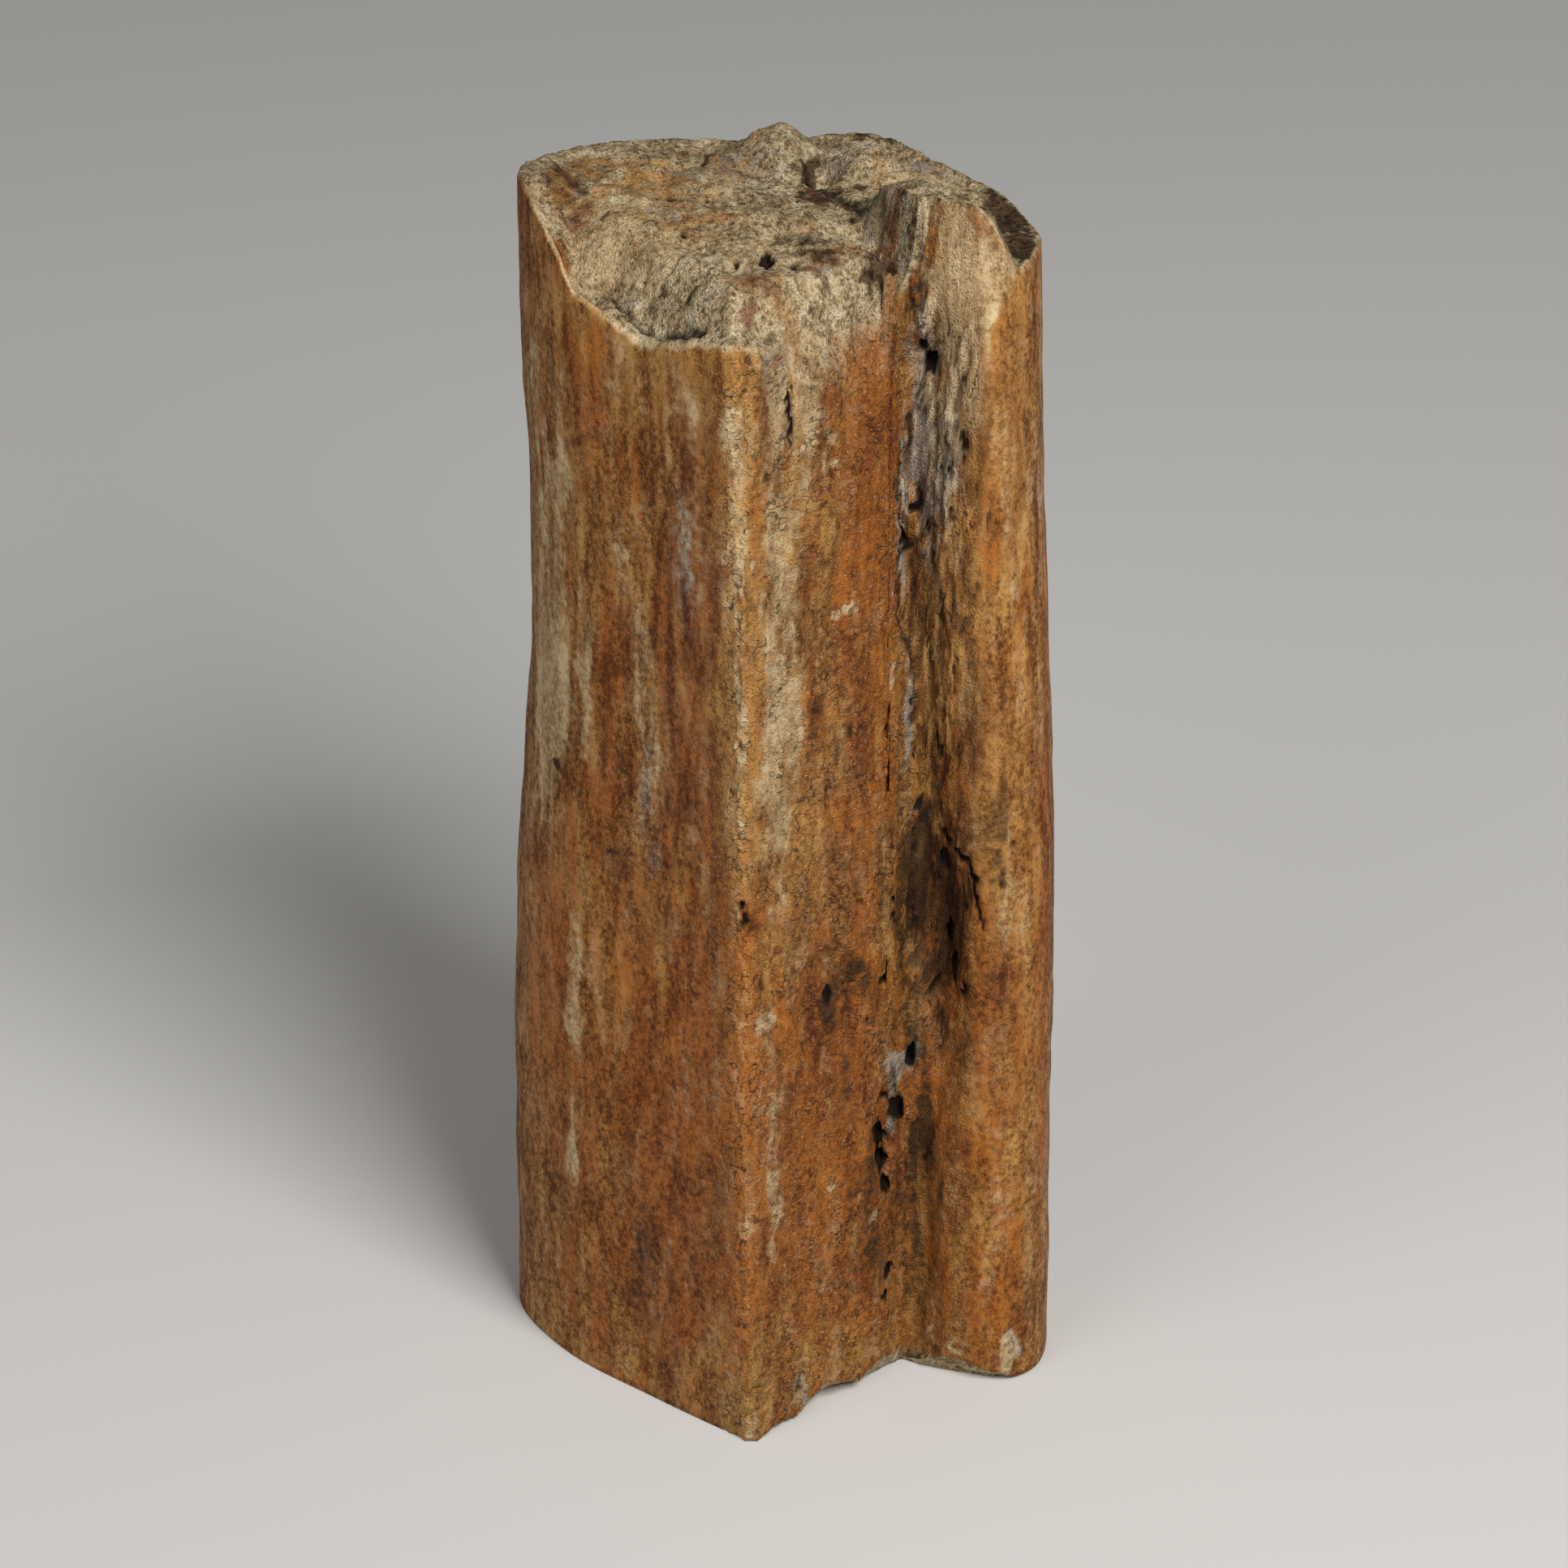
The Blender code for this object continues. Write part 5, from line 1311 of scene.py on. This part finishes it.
# %% Painted shade of pores, slits, scale edges, low places and holes, and pale flecks, over the stains
# The values whose product is how much a layer covers, and the layer's tone
# All layers but the flecks are painted shade: in pores, on scale edges, in slits, in low places and in holes
LAYERS = (
    ((shows["small pores"], shows["not smooth"], 0.7), DEEP_SHADE),
    ((shows["large pores"], on_skin["broken"], 0.85), DEEP_SHADE),
    ((scale_edge, 0.75), DEEP_SHADE),
    ((slit, 0.8), DEEP_SHADE),
    ((shows["flecks"], shows["not smooth"], shows["not dark"]), FLECK),
    ((shows["low places"],), LOW_SHADE),
    ((shows["holes"],), DEEP_SHADE),
)
for where, tone in LAYERS:
    cover = product(finish, *where)
    colour = add(finish, "ShaderNodeMix", {"Factor": cover, "A": colour, "B": linear(tone)},
                 data_type="RGBA")
print(len(LAYERS), "layers of dirt and flecks")

# %% Relief too fine for the skin, and gloss
lifted = add(finish, "ShaderNodeBump", {"Strength": shows["uneven"], "Distance": MM,
                                        "Height": noises["speck"]})
dull = shows["dull"]
for painted_shade in (shows["holes"], slit):
    dull = add(finish, "ShaderNodeMix", {"Factor": painted_shade, "A": dull, "B": 0.95})
shader = add(finish, "ShaderNodeBsdfPrincipled", {"Base Color": colour, "Roughness": dull, "Metallic": 0.0,
                                                  "IOR": 1.54, "Specular IOR Level": 0.2, "Normal": lifted})
add(finish, "ShaderNodeOutputMaterial", {"Surface": shader})
print(len(finish.nodes), "nodes in the bone's material")

# %% Cut the fibres and pores
holder = bpy.data.objects.new("skin with fibres", skin)
bpy.context.scene.collection.objects.link(holder)
tree = grain_tree(bone_finish)
modifier = holder.modifiers.new("fibres and pores", "NODES")
modifier.node_group = tree
for item in tree.interface.items_tree:
    if item.in_out == "INPUT" and item.name in SIZES:
        modifier[item.identifier] = SIZES[item.name]
depsgraph = bpy.context.evaluated_depsgraph_get()
finished = bpy.data.meshes.new_from_object(holder.evaluated_get(depsgraph))
bpy.data.objects.remove(holder)

low, high = np.array(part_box("fossil_bone"))
places = np.empty(len(finished.vertices) * 3, dtype=np.float32)
finished.vertices.foreach_get("co", places)
places = np.clip(places.reshape(-1, 3), low + 0.02 * MM, high - 0.02 * MM)
places[:, 2] = np.maximum(places[:, 2], low[2])
finished.vertices.foreach_set("co", places.ravel().astype(np.float32))
finished.shade_smooth()
finished.update()
bone = bpy.data.objects.new("weathered_bone", finished)
bpy.context.scene.collection.objects.link(bone)
print("finished skin:", len(finished.polygons), "faces,", len(finished.materials), "material")

# %% [markdown]
# The floor is plain and pale, and the light is soft, as in a studio. One large lamp stands in front and
# above, a weaker one at the left, and the sky fills the shadows. They are no part of the bone.

# %% Floor and light
FLOOR_SIZE = 4.0
paper = bpy.data.materials.new("pale paper")
paper.use_nodes = True
paper.node_tree.nodes.clear()
matt = add(paper.node_tree, "ShaderNodeBsdfDiffuse", {"Color": linear("#dedcd8")})
add(paper.node_tree, "ShaderNodeOutputMaterial", {"Surface": matt})
bpy.ops.mesh.primitive_plane_add(size=FLOOR_SIZE, location=(0.0, 0.0, -0.00005))
floor = bpy.context.object
floor.name = "floor"
floor.data.materials.append(paper)

LAMPS = (
    # name, azimuth from the front towards the right, elevation, distance in m, size in m, power in W
    ("key", 30.0, 44.0, 0.9, 0.4, 7.5),
    ("fill", -40.0, 35.0, 1.0, 0.6, 2.1),
)
for name, azimuth, elevation, far, size, power in LAMPS:
    lamp = bpy.data.objects.new(name, bpy.data.lights.new(name, "AREA"))
    lamp.data.size = size
    lamp.data.energy = power
    turn, rise = math.radians(azimuth), math.radians(elevation)
    direction = Vector((math.sin(turn) * math.cos(rise), -math.cos(turn) * math.cos(rise), math.sin(rise)))
    lamp.location = direction * far + Vector((0.0, 0.0, AIM[2] * MM))
    lamp.rotation_mode = "QUATERNION"
    lamp.rotation_quaternion = direction.to_track_quat("Z", "Y")
    bpy.context.scene.collection.objects.link(lamp)

world = bpy.data.worlds.new("soft sky")
world.use_nodes = True
world.node_tree.nodes["Background"].inputs["Color"].default_value = (1.0, 0.98, 0.95, 1.0)
world.node_tree.nodes["Background"].inputs["Strength"].default_value = 0.135
bpy.context.scene.world = world
bpy.context.scene.view_settings.view_transform = "Standard"

# %% Hand the skin to the frame
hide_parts("fossil_bone")
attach(bone, "root")
